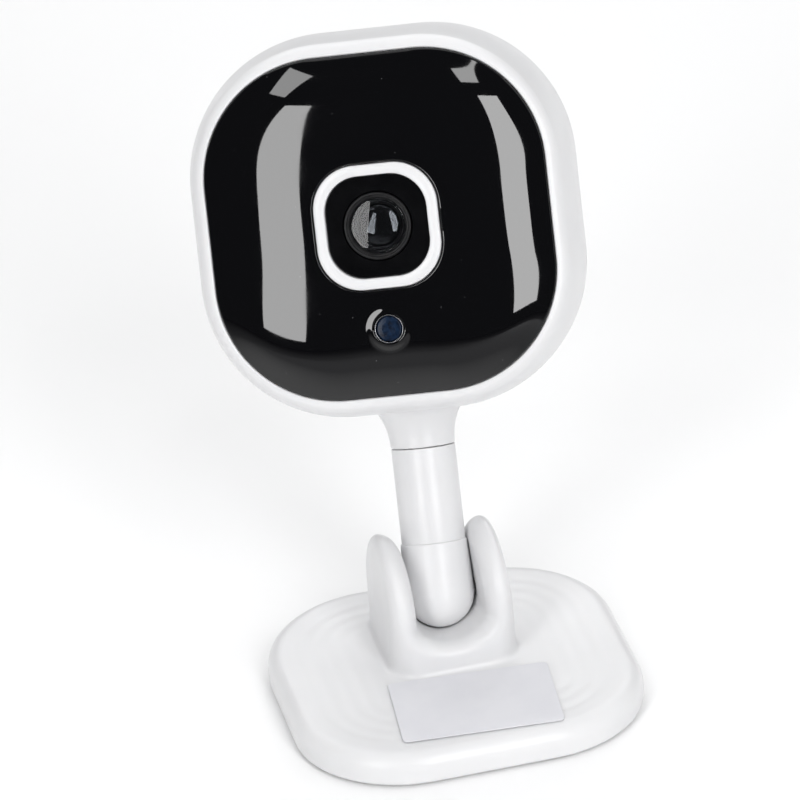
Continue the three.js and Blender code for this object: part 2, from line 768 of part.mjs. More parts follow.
place(head, 'led_board', buildLedBoard(), boardGreen);
for (let i = 1; i < LAMP_PLACES; i += 1) {
  const angle = -Math.PI / 2 + (i / LAMP_PLACES) * 2 * Math.PI;
  const lamp = place(head, `ir_led_${i}`, buildLamp(2.3, 4.6), lampResin);
  lamp.position.set(SENSOR_DROP * Math.cos(angle), 0, SENSOR_DROP * Math.sin(angle));
}
const statusLamp = place(head, 'status_led', buildLamp(1.0, 3.0), statusResin);
statusLamp.position.set(0, 0, 14.6);
for (const [name, geometry, material] of [
  ['light_sensor_sleeve', buildSensorSleeve(), silverTrim],
  ['light_sensor', buildLightSensor(), sensorGlass],
]) {
  place(head, name, geometry, material).position.z = -SENSOR_DROP;
}

// ---------------------------------------------------------------- boards and what they carry

const BOARD_BACK = MAIN_BOARD_Y + BOARD_THICKNESS + FIT_GAP;
const IO_BACK = IO_BOARD_Y + BOARD_THICKNESS + FIT_GAP;

function buildMainBoard() {
  const half = MAIN_BOARD_HALF;
  const outline = roundedRectangle(half, half, half * HEAD_SQUARENESS);
  const plate = prismY(outline, MAIN_BOARD_Y, MAIN_BOARD_Y + BOARD_THICKNESS);
  const holes = [-1, 1].map((side) => rodY(1.3, -20, 0, side * STANDOFF_X, STANDOFF_Z));
  return carve(plate, { remove: holes });
}

// Open-ended metal shell of the power socket, with a tongue left out of the mouth.
function buildUsbPort() {
  const shell = prismY(roundedRectangle(3.8, 1.4, 0.9), IO_BACK, HEAD_BACK - 0.4, 0, 3);
  const mouth = prismY(roundedRectangle(3.4, 1.0, 0.7), IO_BACK + 1, HEAD_BACK + 1, 0, 3);
  const tongue = block(5.2, 3.6, 0.6, 0, IO_BACK + 2.6, 0);
  const port = carve(shell, { remove: [mouth], addLast: [tongue] });
  port.translate(USB_X, 0, IO_HEIGHT);
  return port;
}

function buildSpeaker() {
  const speaker = turnedY([
    [0, 4.0],
    [6.2, 4.0],
    [6.2, 5.6],
    [9.2, 6.4],
    [9.2, 8.1],
    [7.8, 8.1],
    [3.2, 6.6],
    [0, 7.2],
  ]);
  speaker.translate(0, 0, SPEAKER_Z);
  return speaker;
}

// Round cap in the rear wall, with a flange and a stem that reaches the switch.
function buildResetButton() {
  const button = turnedY([
    [0, 6.9],
    [1.0, 6.9],
    [1.0, 7.4],
    [2.9, 7.4],
    [2.9, 7.9],
    [2.0, 7.9],
    [2.0, HEAD_BACK - 0.3],
    [1.7, HEAD_BACK],
    [0, HEAD_BACK],
  ], 16);
  button.translate(RESET_X, 0, IO_HEIGHT);
  return button;
}

place(head, 'main_board', buildMainBoard(), boardGreen);
[-1, 1].forEach((side, i) => {
  const screw = place(head, `board_screw_${i + 1}`, screwGeometry(1.9, 1.1, 0.85, 7), steel);
  screw.rotation.x = -Math.PI / 2;
  screw.position.set(side * STANDOFF_X, MAIN_BOARD_Y - FIT_GAP, STANDOFF_Z);
});
place(head, 'processor', block(11, 1.2, 11, -1, BOARD_BACK + 0.6, 2), chipBlack);
place(head, 'wifi_module', block(13, 2.2, 12, 14, BOARD_BACK + 1.1, 9), silverTrim);
place(head, 'wifi_antenna', block(22, 6, 0.4, 0, -5, 28.3), copperFilm);
place(head, 'card_socket', block(14, 1.8, 15, -16, BOARD_BACK + 0.9, CARD_Z), steel);

// The connector fills the space between the two boards.
const connectorDepth = IO_BOARD_Y - BOARD_BACK - FIT_GAP;
const connector = block(10, connectorDepth, 2.5, 0, BOARD_BACK + connectorDepth / 2, -12);
place(head, 'board_connector', connector, blackPlastic);

const ioBoard = block(29, BOARD_THICKNESS, 13, 0, IO_BOARD_Y + BOARD_THICKNESS / 2, IO_HEIGHT);
place(head, 'io_board', ioBoard, boardGreen);
place(head, 'usb_port', buildUsbPort(), steel);
place(head, 'reset_switch', block(6, 1.8, 6, RESET_X, IO_BACK + 0.9, IO_HEIGHT), chipBlack);
place(head, 'reset_button', buildResetButton(), whitePlastic);
place(head, 'speaker', buildSpeaker(), magnetSteel);
place(head, 'microphone', rodZ(2.0, -29.4, -27.2, MICROPHONE_X, MICROPHONE_Y), chipBlack);

export default camera;
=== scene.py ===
import json
import math

import bpy
import numpy as np
from mathutils import Matrix, Vector


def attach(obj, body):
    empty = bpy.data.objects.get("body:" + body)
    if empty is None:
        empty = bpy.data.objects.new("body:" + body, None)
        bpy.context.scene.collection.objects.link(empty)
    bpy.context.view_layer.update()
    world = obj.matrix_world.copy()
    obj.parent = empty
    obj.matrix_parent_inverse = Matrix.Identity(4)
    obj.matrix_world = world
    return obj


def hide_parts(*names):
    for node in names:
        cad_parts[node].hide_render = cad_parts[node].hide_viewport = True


# Looks of a small white security camera: a square head with a domed black face
# on a short arm that stands in a U-shaped yoke on a flat base.
# Pieces are modelled in millimetres, in the frame of the body they ride on.

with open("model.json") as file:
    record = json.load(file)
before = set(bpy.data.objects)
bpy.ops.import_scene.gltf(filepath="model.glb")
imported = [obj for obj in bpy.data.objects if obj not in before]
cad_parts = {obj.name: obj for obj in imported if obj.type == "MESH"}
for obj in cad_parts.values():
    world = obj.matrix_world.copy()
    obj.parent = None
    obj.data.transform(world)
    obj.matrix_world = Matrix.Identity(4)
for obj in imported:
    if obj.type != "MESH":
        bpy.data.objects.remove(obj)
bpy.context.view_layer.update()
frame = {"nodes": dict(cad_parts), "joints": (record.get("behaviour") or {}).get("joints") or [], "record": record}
joints = {joint["name"]: joint for joint in frame["joints"]}

MM = 0.001

# ------------ driving dimensions (mm)

BASE_WIDTH = 61.4
BASE_DEPTH = 58.2
BASE_CORNER = 19.8
BASE_HEIGHT = 5.9
BASE_EDGE = 3.0
BASE_WALL = 2.2
BASE_ROOF = 1.8
PAD_PROUD = 0.4
RIPPLE_START = 4.7  # distance of the first ring in the base's top from its outline
RIPPLE_PITCH = 2.9
RIPPLE_DEPTH = 0.065
RIPPLE_END = 17.5
BASE_SCREW_X = 20.0
BASE_SCREW_Y = 18.0
BASE_BOSS_RADIUS = 2.2
BASE_BOSS_FOOT = 2.1

PIVOT_Y = 7.6
PIVOT_Z = 14.9
YOKE_RADIUS = 12.0
YOKE_HALF_FOOT = 11.3
YOKE_HALF_TOP = 10.5
YOKE_FOOT_ROUNDING = 5.4
YOKE_TOP_ROUNDING = 1.6
CHANNEL_HALF = 6.17
CHANNEL_EASE = 3.6  # rounding of the channel's long edges
POCKET_RADIUS = 6.2  # the knuckle's ball sits in this, below the channel's floor
FLOOR_DROP_MIDDLE = 5.5  # depth of the channel's floor below the pivot, next to the ball
FLOOR_DROP_END = 3.9  # the floor rises to a lip at the front and back
FOOT_FILLET = 1.1
PIN_SOCKET_RADIUS = 1.65
PIN_SOCKET_HALF = 8.9  # the sockets end inside the ears

LABEL_WIDTH = 27.9
LABEL_DEPTH = 19.3
LABEL_CORNER = 0.9
LABEL_THICKNESS = 0.2
LABEL_CENTRE = (0.1, -15.7)
LABEL_TURN = math.radians(-5)

KNUCKLE_RADIUS = 6.05
KNUCKLE_TOP_RADIUS = 5.75
KNUCKLE_TOP = 9.05
PIN_BORE_RADIUS = 1.55
STUB_RADIUS = 3.1  # the knuckle's upper end, inside the post
STUB_TOP = 16.0
POST_RADIUS = 5.56
POST_FOOT = 9.06
POST_BORE = 3.4
POST_BORE_TOP = 18.0
SPIGOT_RADIUS = 3.7  # the head turns on this end of the post
SPIGOT_TOP = 36.6
SCREW_BORE = 1.4
SCREW_BORE_FOOT = 27.0
SWIVEL_SEAM = 25.6
SEAM_GAP = 0.11
HEAD_HEIGHT = 66.0  # head centre above the pivot, along the arm

HEAD_SQUARENESS = 0.745  # corner radius over half width
HEAD_HALF = 32.9
HEAD_SEAM = -12.0
HEAD_BACK = 10.5
HEAD_WALL = 2.0
PANEL_HALF = 29.0
PANEL_SQUARENESS = 0.707
PANEL_EDGE_Y = -27.6
PANEL_RISE = 4.0
PANEL_FLATNESS = 3.5  # higher keeps more of the panel's middle flat
PANEL_THICKNESS = 2.0
RING_FACE = -32.0  # the window and the lens are set back from this face
RING_HALF = 10.55
RING_INNER = 8.7
RING_SQUARENESS = 0.7
LENS_RADIUS = 5.7
GLASS_RADIUS = 4.55
GLASS_CURVE = 23.0
INNER_LENS_RADIUS = 3.4
INNER_LENS_CURVE = 7.4
SENSOR_DROP = 17.5
SENSOR_RADIUS = 2.2
SENSOR_HOLE_RADIUS = 2.6
MOUND_FOOT_RADIUS = 4.0  # the panel rises in a low mound round the sensor
MOUND_TOP_RADIUS = 2.8
MOUND_HEIGHT = 0.2
HOUSING_SCREW_AT = 21.5
STANDOFF_X = 18.5
STANDOFF_Z = -8.0
SPEAKER_Z = 7.0
IO_HEIGHT = -15.0
USB_X = -8.0
USB_MOUTH = (4.2, 1.8, 1.2)  # half width, half height and corner radius
RESET_X = 8.0
BOSS_RADIUS = 2.8
SCREW_WELL_RADIUS = 2.4
SCREW_WELL_FLOOR = 1.5
SCREW_HOLE_RADIUS = 1.3
STANDOFF_RADIUS = 2.4
STANDOFF_FOOT = -10.1
STANDOFF_HOLE_RADIUS = 1.1
NECK_BORE = 4.0
WASHER_RECESS = 5.3
WASHER_FLOOR = -30.5
CARD_Y = -9.2
CARD_Z = 8.5
MICROPHONE_X = 12.0
MICROPHONE_Y = -6.5
MICROPHONE_RADIUS = 0.6
GRILLE_PITCH = 2.6
GRILLE_RADIUS = 0.75
BUTTON_HOLE_RADIUS = 2.3

BASE_MESH_PITCH = 0.42
SHELL_MESH_PITCH = 0.46


# ------------ local frames

def frame_matrix(origin, x, y, z):
    """Takes millimetres in a body's own frame to metres in the row frame."""
    matrix = Matrix.Identity(4)
    for column, axis in enumerate((x, y, z)):
        for row in range(3):
            matrix[row][column] = axis[row] * MM
    matrix.translation = origin
    return matrix


pivot = Vector(joints["tilt"]["pos_m"])
arm_x = Vector(joints["tilt"]["axis"]).normalized()
arm_z = Vector(joints["swivel"]["axis"]).normalized()
head_y = -Vector(joints["reset_press"]["axis"]).normalized()

ROW = frame_matrix(Vector((0, 0, 0)), Vector((1, 0, 0)), Vector((0, 1, 0)), Vector((0, 0, 1)))
ARM = frame_matrix(pivot, arm_x, arm_z.cross(arm_x), arm_z)
HEAD = frame_matrix(pivot + arm_z * HEAD_HEIGHT * MM, head_y.cross(arm_z), head_y, arm_z)


# ------------ camera

def make_camera():
    """Looks down on the part from the front, a little from the left, with a long lens."""
    azimuth = math.radians(-11.01)
    elevation = math.radians(29.65)
    roll = math.radians(-4.91)
    distance = 1.227
    target = Vector((-5.506, 0.0, 58.637)) * MM
    back = Vector((
        math.sin(azimuth) * math.cos(elevation),
        -math.cos(azimuth) * math.cos(elevation),
        math.sin(elevation),
    ))
    level = (-back).cross(Vector((0, 0, 1))).normalized()
    upright = level.cross(-back)
    right = level * math.cos(roll) + upright * math.sin(roll)
    up = upright * math.cos(roll) - level * math.sin(roll)
    data = bpy.data.cameras.new("photo_camera")
    data.lens = 325.7
    data.sensor_width = 36.0
    data.clip_start = 0.05
    data.clip_end = 20.0
    camera = bpy.data.objects.new("photo_camera", data)
    bpy.context.scene.collection.objects.link(camera)
    turn = Matrix((right, up, back)).transposed().to_4x4()
    camera.matrix_world = Matrix.Translation(target + back * distance) @ turn
    bpy.context.scene.camera = camera


make_camera()


# ------------ profiles

def eased(corners, steps=5, closed=False):
    """A polyline of (across, along, radius) corners, rounded at each corner by its radius."""
    points = []
    count = len(corners)
    for i, (across, along, radius) in enumerate(corners):
        here = np.array([across, along], float)
        if radius == 0 or (not closed and i in (0, count - 1)):
            points.append(here)
            continue
        before = np.array(corners[i - 1][:2], float) - here
        after = np.array(corners[(i + 1) % count][:2], float) - here
        to_before = before / np.linalg.norm(before)
        to_after = after / np.linalg.norm(after)
        half = math.acos(np.clip(to_before @ to_after, -1, 1)) / 2
        room = 0.49 * min(np.linalg.norm(before), np.linalg.norm(after))
        reach = min(radius / math.tan(half), room)
        size = reach * math.tan(half)
        middle = to_before + to_after
        centre = here + middle / np.linalg.norm(middle) * size / math.sin(half)
        start = here + to_before * reach - centre
        end = here + to_after * reach - centre
        sweep = math.pi - 2 * half
        for step in range(steps + 1):
            share = step / steps
            a = math.sin((1 - share) * sweep) / math.sin(sweep)
            b = math.sin(share * sweep) / math.sin(sweep)
            points.append(centre + a * start + b * end)
    return np.array(points)


def curved(points, steps=6):
    """A smooth curve through points."""
    points = np.array(points, float)
    ends = [2 * points[0] - points[1], *points, 2 * points[-1] - points[-2]]
    line = []
    for a, b, c, d in zip(ends, ends[1:], ends[2:], ends[3:]):
        for step in range(steps):
            t = step / steps
            line.append(0.5 * (2 * b + (c - a) * t + (2 * a - 5 * b + 4 * c - d) * t * t
                               + (3 * b - a - 3 * c + d) * t ** 3))
    line.append(points[-1])
    return np.array(line)


def square_reach(angle, squareness):
    """Distance from the centre to a unit rounded square's outline, at an angle."""
    c = np.abs(np.cos(angle))
    s = np.abs(np.sin(angle))
    across = np.maximum(c, s)
    along = np.minimum(c, s)
    flat = 1 - squareness
    to_centre = flat * (across + along)
    inner = np.maximum(to_centre ** 2 - 2 * flat ** 2 + squareness ** 2, 0)
    return np.where(along / across <= flat, 1 / across, to_centre + np.sqrt(inner))


# ------------ solids

def solid(points, faces):
    """A temporary closed object in millimetres, facing outwards."""
    points = np.asarray(points, float)
    volume = 0.0
    for face in faces:
        a = points[face[0]]
        for second, third in zip(face[1:-1], face[2:]):
            volume += a @ np.cross(points[second], points[third])
    if volume < 0:
        faces = [tuple(reversed(face)) for face in faces]
    return raw_solid(points, faces)


def raw_solid(points, faces):
    """The same with the faces as they are given."""
    mesh = bpy.data.meshes.new("solid")
    mesh.from_pydata(np.asarray(points).tolist(), [], [tuple(map(int, face)) for face in faces])
    item = bpy.data.objects.new("solid", mesh)
    bpy.context.scene.collection.objects.link(item)
    return item


def square_outline(squareness):
    """Outline of a lathe that turns on a rounded square."""
    return lambda across, angles: square_reach(angles, squareness)


def spun(profile, sides=96, outline=None, closed=False):
    """Carries a profile of (across, along) round the Y axis, on a circle or another outline."""
    profile = np.array(profile, float)[:, :2]
    angles = np.linspace(0, 2 * math.pi, sides, endpoint=False)
    points = []
    rings = []
    for across, along in profile:
        if abs(across) < 1e-9:
            rings.append([len(points)])
            points.append((0.0, along, 0.0))
            continue
        reach = outline(across, angles) if outline else 1.0
        x = across * reach * np.cos(angles)
        z = across * reach * np.sin(angles)
        rings.append(list(range(len(points), len(points) + sides)))
        points.extend(zip(x, np.full(sides, along), z))
    faces = []
    pairs = list(zip(rings, rings[1:]))
    if closed:
        pairs.append((rings[-1], rings[0]))
    for low, high in pairs:
        for i in range(sides):
            j = (i + 1) % sides
            corners = (low[i % len(low)], low[j % len(low)],
                       high[j % len(high)], high[i % len(high)])
            face = tuple(dict.fromkeys(corners))
            if len(face) > 2:
                faces.append(face)
    return solid(points, faces)


def spun_z(profile, sides=96, closed=False):
    """The same round the Z axis."""
    item = spun(profile, sides, closed=closed)
    item.data.transform(Matrix.Rotation(math.pi / 2, 4, "X"))
    return item


def moved(item, x=0.0, y=0.0, z=0.0):
    item.data.transform(Matrix.Translation((x, y, z)))
    return item


def rod_y(radius, low, high, x=0.0, z=0.0, sides=48):
    return moved(spun([(0, low), (radius, low), (radius, high), (0, high)], sides), x=x, z=z)


def rod_z(radius, low, high, x=0.0, y=0.0, sides=48):
    return moved(spun_z([(0, low), (radius, low), (radius, high), (0, high)], sides), x=x, y=y)


def rod_x(radius, half, sides=48):
    item = rod_z(radius, -half, half, sides=sides)
    item.data.transform(Matrix.Rotation(math.pi / 2, 4, "Y"))
    return item


def rounded_outline(half_x, half_z, corner, steps=8):
    """Points of a rounded rectangle, counter-clockwise."""
    points = []
    for quarter, (sx, sz) in enumerate(((1, 1), (-1, 1), (-1, -1), (1, -1))):
        for step in range(steps + 1):
            angle = (quarter + step / steps) * math.pi / 2
            x = sx * (half_x - corner) + corner * math.cos(angle)
            z = sz * (half_z - corner) + corner * math.sin(angle)
            points.append((x, z))
    return np.array(points)


def plate_y(half_x, half_z, corner, levels, steps=8):
    """A rounded rectangle carried along Y through (y, growth) levels, with flat ends."""
    points = []
    for y, growth in levels:
        outline = rounded_outline(half_x + growth, half_z + growth, corner + growth, steps)
        points.extend((x, y, z) for x, z in outline)
    count = len(outline)
    faces = [tuple(range(count)), tuple(range(len(points) - count, len(points)))[::-1]]
    for level in range(len(levels) - 1):
        for i in range(count):
            j = (i + 1) % count
            a = level * count
            faces.append((a + j, a + i, a + count + i, a + count + j))
    return solid(points, faces)


def edged_levels(low, high, ease):
    """Levels of a plate with small rounded edges."""
    turn = [i / 4 * math.pi / 2 for i in range(5)]
    lower = [(low + ease * (1 - math.sin(a)), -ease * (1 - math.cos(a))) for a in turn[::-1]]
    upper = [(high - ease * (1 - math.sin(a)), -ease * (1 - math.cos(a))) for a in turn]
    return lower + upper


def cut(target, *tools):
    """Cuts each tool away from the target and removes the tool."""
    for tool in tools:
        modifier = target.modifiers.new("cut", "BOOLEAN")
        modifier.solver = "MANIFOLD"
        modifier.operation = "DIFFERENCE"
        modifier.object = tool
        depsgraph = bpy.context.evaluated_depsgraph_get()
        made = bpy.data.meshes.new_from_object(target.evaluated_get(depsgraph))
        target.modifiers.clear()
        target.data = made
        bpy.data.objects.remove(tool)
    return target


def together(items):
    """Several separate solids as one object."""
    points = []
    faces = []
    for item in items:
        start = len(points)
        points.extend(tuple(vertex.co) for vertex in item.data.vertices)
        faces.extend(tuple(start + v for v in face.vertices) for face in item.data.polygons)
        bpy.data.objects.remove(item)
    return raw_solid(points, faces)


def piece(item, name, body, matrix, material, stands_for=(), crease=32):
    """Moves a finished solid from its body's frame to the row frame and registers it."""
    item.name = name
    item.data.name = name
    item.data.transform(matrix)
    item.data.polygons.foreach_set("use_smooth", [True] * len(item.data.polygons))
    item.data.set_sharp_from_angle(angle=math.radians(crease))
    item.data.materials.clear()
    item.data.materials.append(material)
    item.data.update()
    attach(item, body)
    if stands_for:
        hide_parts(*stands_for)
    return item


# ------------ distance fields
# A field gives the signed distance to a surface in millimetres, negative inside.

def rectangle_distance(x, y, half_x, half_y, corner):
    """Distance to a rounded rectangle in the XY plane."""
    qx = np.abs(x) - half_x + corner
    qy = np.abs(y) - half_y + corner
    outside = np.hypot(np.maximum(qx, 0), np.maximum(qy, 0))
    return outside + np.minimum(np.maximum(qx, qy), 0) - corner


def rounded_both(a, b, rounding):
    """Where both distances are negative, with the edge between them rounded."""
    a = a + rounding
    b = b + rounding
    outside = np.hypot(np.maximum(a, 0), np.maximum(b, 0))
    return outside + np.minimum(np.maximum(a, b), 0) - rounding


def soft_join(a, b, width):
    """Both shapes, with a fillet of about width where they meet."""
    nearness = np.maximum(width - np.abs(a - b), 0) / width
    return np.minimum(a, b) - nearness ** 2 * width / 4


def soft_cut(a, b, width):
    """The first shape without the second, with a softened edge."""
    return -soft_join(-a, b, width)


def field_slope(field, points, step):
    """Direction in which the field grows, at each point."""
    slope = np.zeros_like(points)
    for axis in range(3):
        shift = np.zeros(3)
        shift[axis] = step
        ahead = field(*(points + shift).T)
        behind = field(*(points - shift).T)
        slope[:, axis] = (ahead - behind) / (2 * step)
    return slope


CUBE = [(i, j, k) for i in (0, 1) for j in (0, 1) for k in (0, 1)]
CUBE_EDGES = [(a, b) for a in CUBE for b in CUBE if sum(b) - sum(a) == 1
              and sum(abs(p - q) for p, q in zip(a, b)) == 1]


def field_solid(field, low, high, pitch):
    """Meshes the surface where the field is zero: one vertex in each cell that it crosses."""
    low = np.array(low, float)
    counts = np.ceil((np.array(high, float) - low) / pitch).astype(int) + 1
    axes = [low[i] + pitch * np.arange(counts[i]) for i in range(3)]
    values = field(*np.meshgrid(*axes, indexing="ij"))
    inside = values < 0
    nx, ny, nz = counts - 1
    filled = sum(inside[i:nx + i, j:ny + j, k:nz + k].astype(int) for i, j, k in CUBE)
    crossed = (filled > 0) & (filled < 8)
    cells = np.argwhere(crossed)
    index = np.full(crossed.shape, -1)
    index[crossed] = np.arange(len(cells))
    total = np.zeros((len(cells), 3))
    hits = np.zeros(len(cells))
    for start, end in CUBE_EDGES:
        a = values[tuple((cells + start).T)]
        b = values[tuple((cells + end).T)]
        crossing = (a < 0) != (b < 0)
        share = np.where(crossing, a / np.where(crossing, a - b, 1), 0)
        spots = cells + start + share[:, None] * (np.array(end) - start)
        total += spots * crossing[:, None]
        hits += crossing
    points = low + pitch * total / hits[:, None]
    for settling in range(3):
        slope = field_slope(field, points, 0.02)
        steep = np.maximum((slope ** 2).sum(1), 0.3)
        step = slope * (field(*points.T) / steep)[:, None]
        size = np.maximum(np.linalg.norm(step, axis=1), 1e-9)
        points -= step * np.minimum(1, 0.4 * pitch / size)[:, None]
    faces = []
    for axis in range(3):
        u = np.zeros(3, int)
        v = np.zeros(3, int)
        u[(axis + 1) % 3] = 1
        v[(axis + 2) % 3] = 1
        first = np.moveaxis(inside, axis, 0)[:-1]
        second = np.moveaxis(inside, axis, 0)[1:]
        spots = np.argwhere(np.moveaxis(first != second, 0, axis))
        corners = [index[tuple((spots - shift).T)] for shift in (u + v, v, 0 * u, u)]
        quads = np.column_stack(corners)
        leaving = inside[tuple(spots.T)]
        quads[~leaving] = quads[~leaving][:, ::-1]
        faces.extend(map(tuple, quads.tolist()))
    return raw_solid(points, faces)


# ------------ material tools

def shader_of(tree):
    return next(node for node in tree.nodes if node.type == "BSDF_PRINCIPLED")


def new_material(name, uniform=None):
    """A material whose uniform values are given by socket name."""
    material = bpy.data.materials.new(name)
    material.use_nodes = True
    tree = material.node_tree
    shader = shader_of(tree)
    for socket, value in (uniform or {}).items():
        shader.inputs[socket].default_value = value
    return material, tree, shader


def noise(tree, size, detail=3.0, stretch=(1, 1, 1)):
    """Noise whose features are about size millimetres wide, in the object's own place."""
    place = tree.nodes.new("ShaderNodeTexCoord")
    mapping = tree.nodes.new("ShaderNodeMapping")
    mapping.inputs["Scale"].default_value = stretch
    texture = tree.nodes.new("ShaderNodeTexNoise")
    texture.inputs["Scale"].default_value = 1 / (size * MM)
    texture.inputs["Detail"].default_value = detail
    tree.links.new(place.outputs["Object"], mapping.inputs["Vector"])
    tree.links.new(mapping.outputs["Vector"], texture.inputs["Vector"])
    return texture.outputs["Fac"]


def between(tree, source, low, high, start=0.35, end=0.65):
    """Turns a source that runs from start to end into one from low to high."""
    spread = tree.nodes.new("ShaderNodeMapRange")
    spread.inputs["From Min"].default_value = start
    spread.inputs["From Max"].default_value = end
    spread.inputs["To Min"].default_value = low
    spread.inputs["To Max"].default_value = high
    tree.links.new(source, spread.inputs["Value"])
    return spread.outputs["Result"]


def colour_between(tree, source, low, high, start=0.35, end=0.65):
    ramp = tree.nodes.new("ShaderNodeValToRGB")
    ramp.color_ramp.elements[0].position = start
    ramp.color_ramp.elements[1].position = end
    ramp.color_ramp.elements[0].color = (*low, 1)
    ramp.color_ramp.elements[1].color = (*high, 1)
    tree.links.new(source, ramp.inputs["Fac"])
    return ramp.outputs["Color"]


def bumped(tree, shader, source, depth):
    """Adds relief of a depth in millimetres on top of what the shader already has."""
    bump = tree.nodes.new("ShaderNodeBump")
    bump.inputs["Strength"].default_value = 1.0
    bump.inputs["Distance"].default_value = depth * MM
    tree.links.new(source, bump.inputs["Height"])
    if shader.inputs["Normal"].links:
        tree.links.new(shader.inputs["Normal"].links[0].from_socket, bump.inputs["Normal"])
    tree.links.new(bump.outputs["Normal"], shader.inputs["Normal"])


def specks(tree, spacing, size):
    """Sparse round specks, 1 inside a speck and 0 outside: about one in each spacing."""
    place = tree.nodes.new("ShaderNodeTexCoord")
    cells = tree.nodes.new("ShaderNodeTexVoronoi")
    cells.inputs["Scale"].default_value = 1 / (spacing * MM)
    tree.links.new(place.outputs["Object"], cells.inputs["Vector"])
    limit = size / spacing
    return between(tree, cells.outputs["Distance"], 1, 0, limit * 0.6, limit)


def plain_surface(name, low, high, roughness, patch, grain, relief, uniform=None):
    """A moulded or plated surface: two close colours, patchy roughness and fine grain.

    Patches and grain are in millimetres across, and the grain's relief in millimetres."""
    material, tree, shader = new_material(name, uniform)
    tree.links.new(colour_between(tree, noise(tree, patch), low, high),
                   shader.inputs["Base Color"])
    tree.links.new(between(tree, noise(tree, patch * 0.4), *roughness),
                   shader.inputs["Roughness"])
    bumped(tree, shader, noise(tree, grain, 2.0), relief)
    return material


# ------------ materials

def make_white_plastic():
    return plain_surface(
        "satin_white_plastic", (0.745, 0.745, 0.754), (0.765, 0.765, 0.772), (0.30, 0.38),
        patch=14.0, grain=0.7, relief=0.0012, uniform={
            "Subsurface Weight": 0.15,
            "Subsurface Radius": (0.8, 0.75, 0.7),
            "Subsurface Scale": 0.8 * MM,
        })


def make_gloss_black():
    """Polished black with a slight moulding wave and a few specks of dust."""
    material, tree, shader = new_material("gloss_black_panel", {"IOR": 1.58})
    dust = specks(tree, 2.6, 0.07)
    tree.links.new(colour_between(tree, dust, (0.0015, 0.0015, 0.002), (0.22, 0.22, 0.23),
                                  0.2, 1.0),
                   shader.inputs["Base Color"])
    tree.links.new(between(tree, noise(tree, 9.0), 0.02, 0.045), shader.inputs["Roughness"])
    bumped(tree, shader, noise(tree, 11.0, 1.0), 0.014)
    bumped(tree, shader, noise(tree, 1.2, 2.0, (1, 1, 9)), 0.0003)
    return material


def make_window_black():
    return plain_surface(
        "window_black", (0.0012, 0.0012, 0.0015), (0.003, 0.003, 0.0035), (0.02, 0.05),
        patch=4.0, grain=0.9, relief=0.0003)


def make_barrel_black():
    return plain_surface(
        "matt_barrel_black", (0.003, 0.003, 0.0035), (0.008, 0.008, 0.009), (0.30, 0.45),
        patch=1.5, grain=0.3, relief=0.001, uniform={"Specular IOR Level": 0.25})


def make_coated_glass():
    """The deep lens elements: dark, with a bluish coating that mirrors the lights."""
    return plain_surface(
        "deep_lens_coating", (0.004, 0.004, 0.005), (0.009, 0.009, 0.010), (0.02, 0.05),
        patch=1.6, grain=0.8, relief=0.0006, uniform={
            "Specular IOR Level": 0.6,
            "Specular Tint": (0.95, 0.97, 1.0, 1),
        })


def make_black_plastic():
    return plain_surface(
        "satin_black_plastic", (0.010, 0.010, 0.011), (0.022, 0.022, 0.024), (0.25, 0.42),
        patch=3.0, grain=0.2, relief=0.002)


def make_lens_glass():
    material, tree, shader = new_material("coated_lens_glass", {
        "Transmission Weight": 1.0,
        "IOR": 1.36,
    })
    tree.links.new(colour_between(tree, noise(tree, 3.0), (0.76, 0.78, 0.81), (0.83, 0.85, 0.87)),
                   shader.inputs["Base Color"])
    tree.links.new(between(tree, noise(tree, 2.0), 0.0, 0.008), shader.inputs["Roughness"])
    bumped(tree, shader, noise(tree, 4.0, 1.0), 0.0002)
    return material


def make_sensor_glass():
    return plain_surface(
        "bluish_sensor_resin", (0.003, 0.006, 0.015), (0.008, 0.020, 0.048), (0.16, 0.26),
        patch=0.9, grain=0.5, relief=0.003, uniform={"Specular IOR Level": 0.14})


def make_silver():
    return plain_surface(
        "thin_silver_trim", (0.30, 0.30, 0.32), (0.40, 0.40, 0.42), (0.16, 0.30),
        patch=1.5, grain=0.2, relief=0.002, uniform={"Metallic": 1.0})


def make_label_paper():
    """Paper with a fine tooth that doesn't lie quite flat."""
    material = plain_surface(
        "blank_label", (0.71, 0.71, 0.745), (0.74, 0.74, 0.770), (0.52, 0.62),
        patch=7.0, grain=0.18, relief=0.004)
    tree = material.node_tree
    bumped(tree, shader_of(tree), noise(tree, 9.0, 1.0), 0.03)
    return material


def make_steel():
    return plain_surface(
        "zinc_plated_steel", (0.48, 0.49, 0.50), (0.62, 0.62, 0.63), (0.24, 0.42),
        patch=2.0, grain=0.15, relief=0.003, uniform={"Metallic": 1.0})


def make_rubber():
    return plain_surface(
        "soft_black_rubber", (0.018, 0.018, 0.019), (0.034, 0.034, 0.036), (0.7, 0.88),
        patch=5.0, grain=0.3, relief=0.012)


def make_board():
    return plain_surface(
        "green_solder_mask", (0.010, 0.085, 0.035), (0.018, 0.125, 0.055), (0.3, 0.45),
        patch=2.0, grain=0.5, relief=0.004)


def make_chip():
    return plain_surface(
        "moulded_chip", (0.014, 0.014, 0.015), (0.024, 0.024, 0.026), (0.45, 0.6),
        patch=1.0, grain=0.12, relief=0.004)


def make_lamp_resin(name, low, high):
    return plain_surface(
        name, low, high, (0.05, 0.14),
        patch=1.0, grain=0.4, relief=0.003, uniform={"Coat Weight": 0.5})


def make_speaker_metal():
    return plain_surface(
        "dark_speaker_metal", (0.10, 0.10, 0.105), (0.16, 0.16, 0.165), (0.35, 0.5),
        patch=2.0, grain=0.2, relief=0.005, uniform={"Metallic": 0.8})


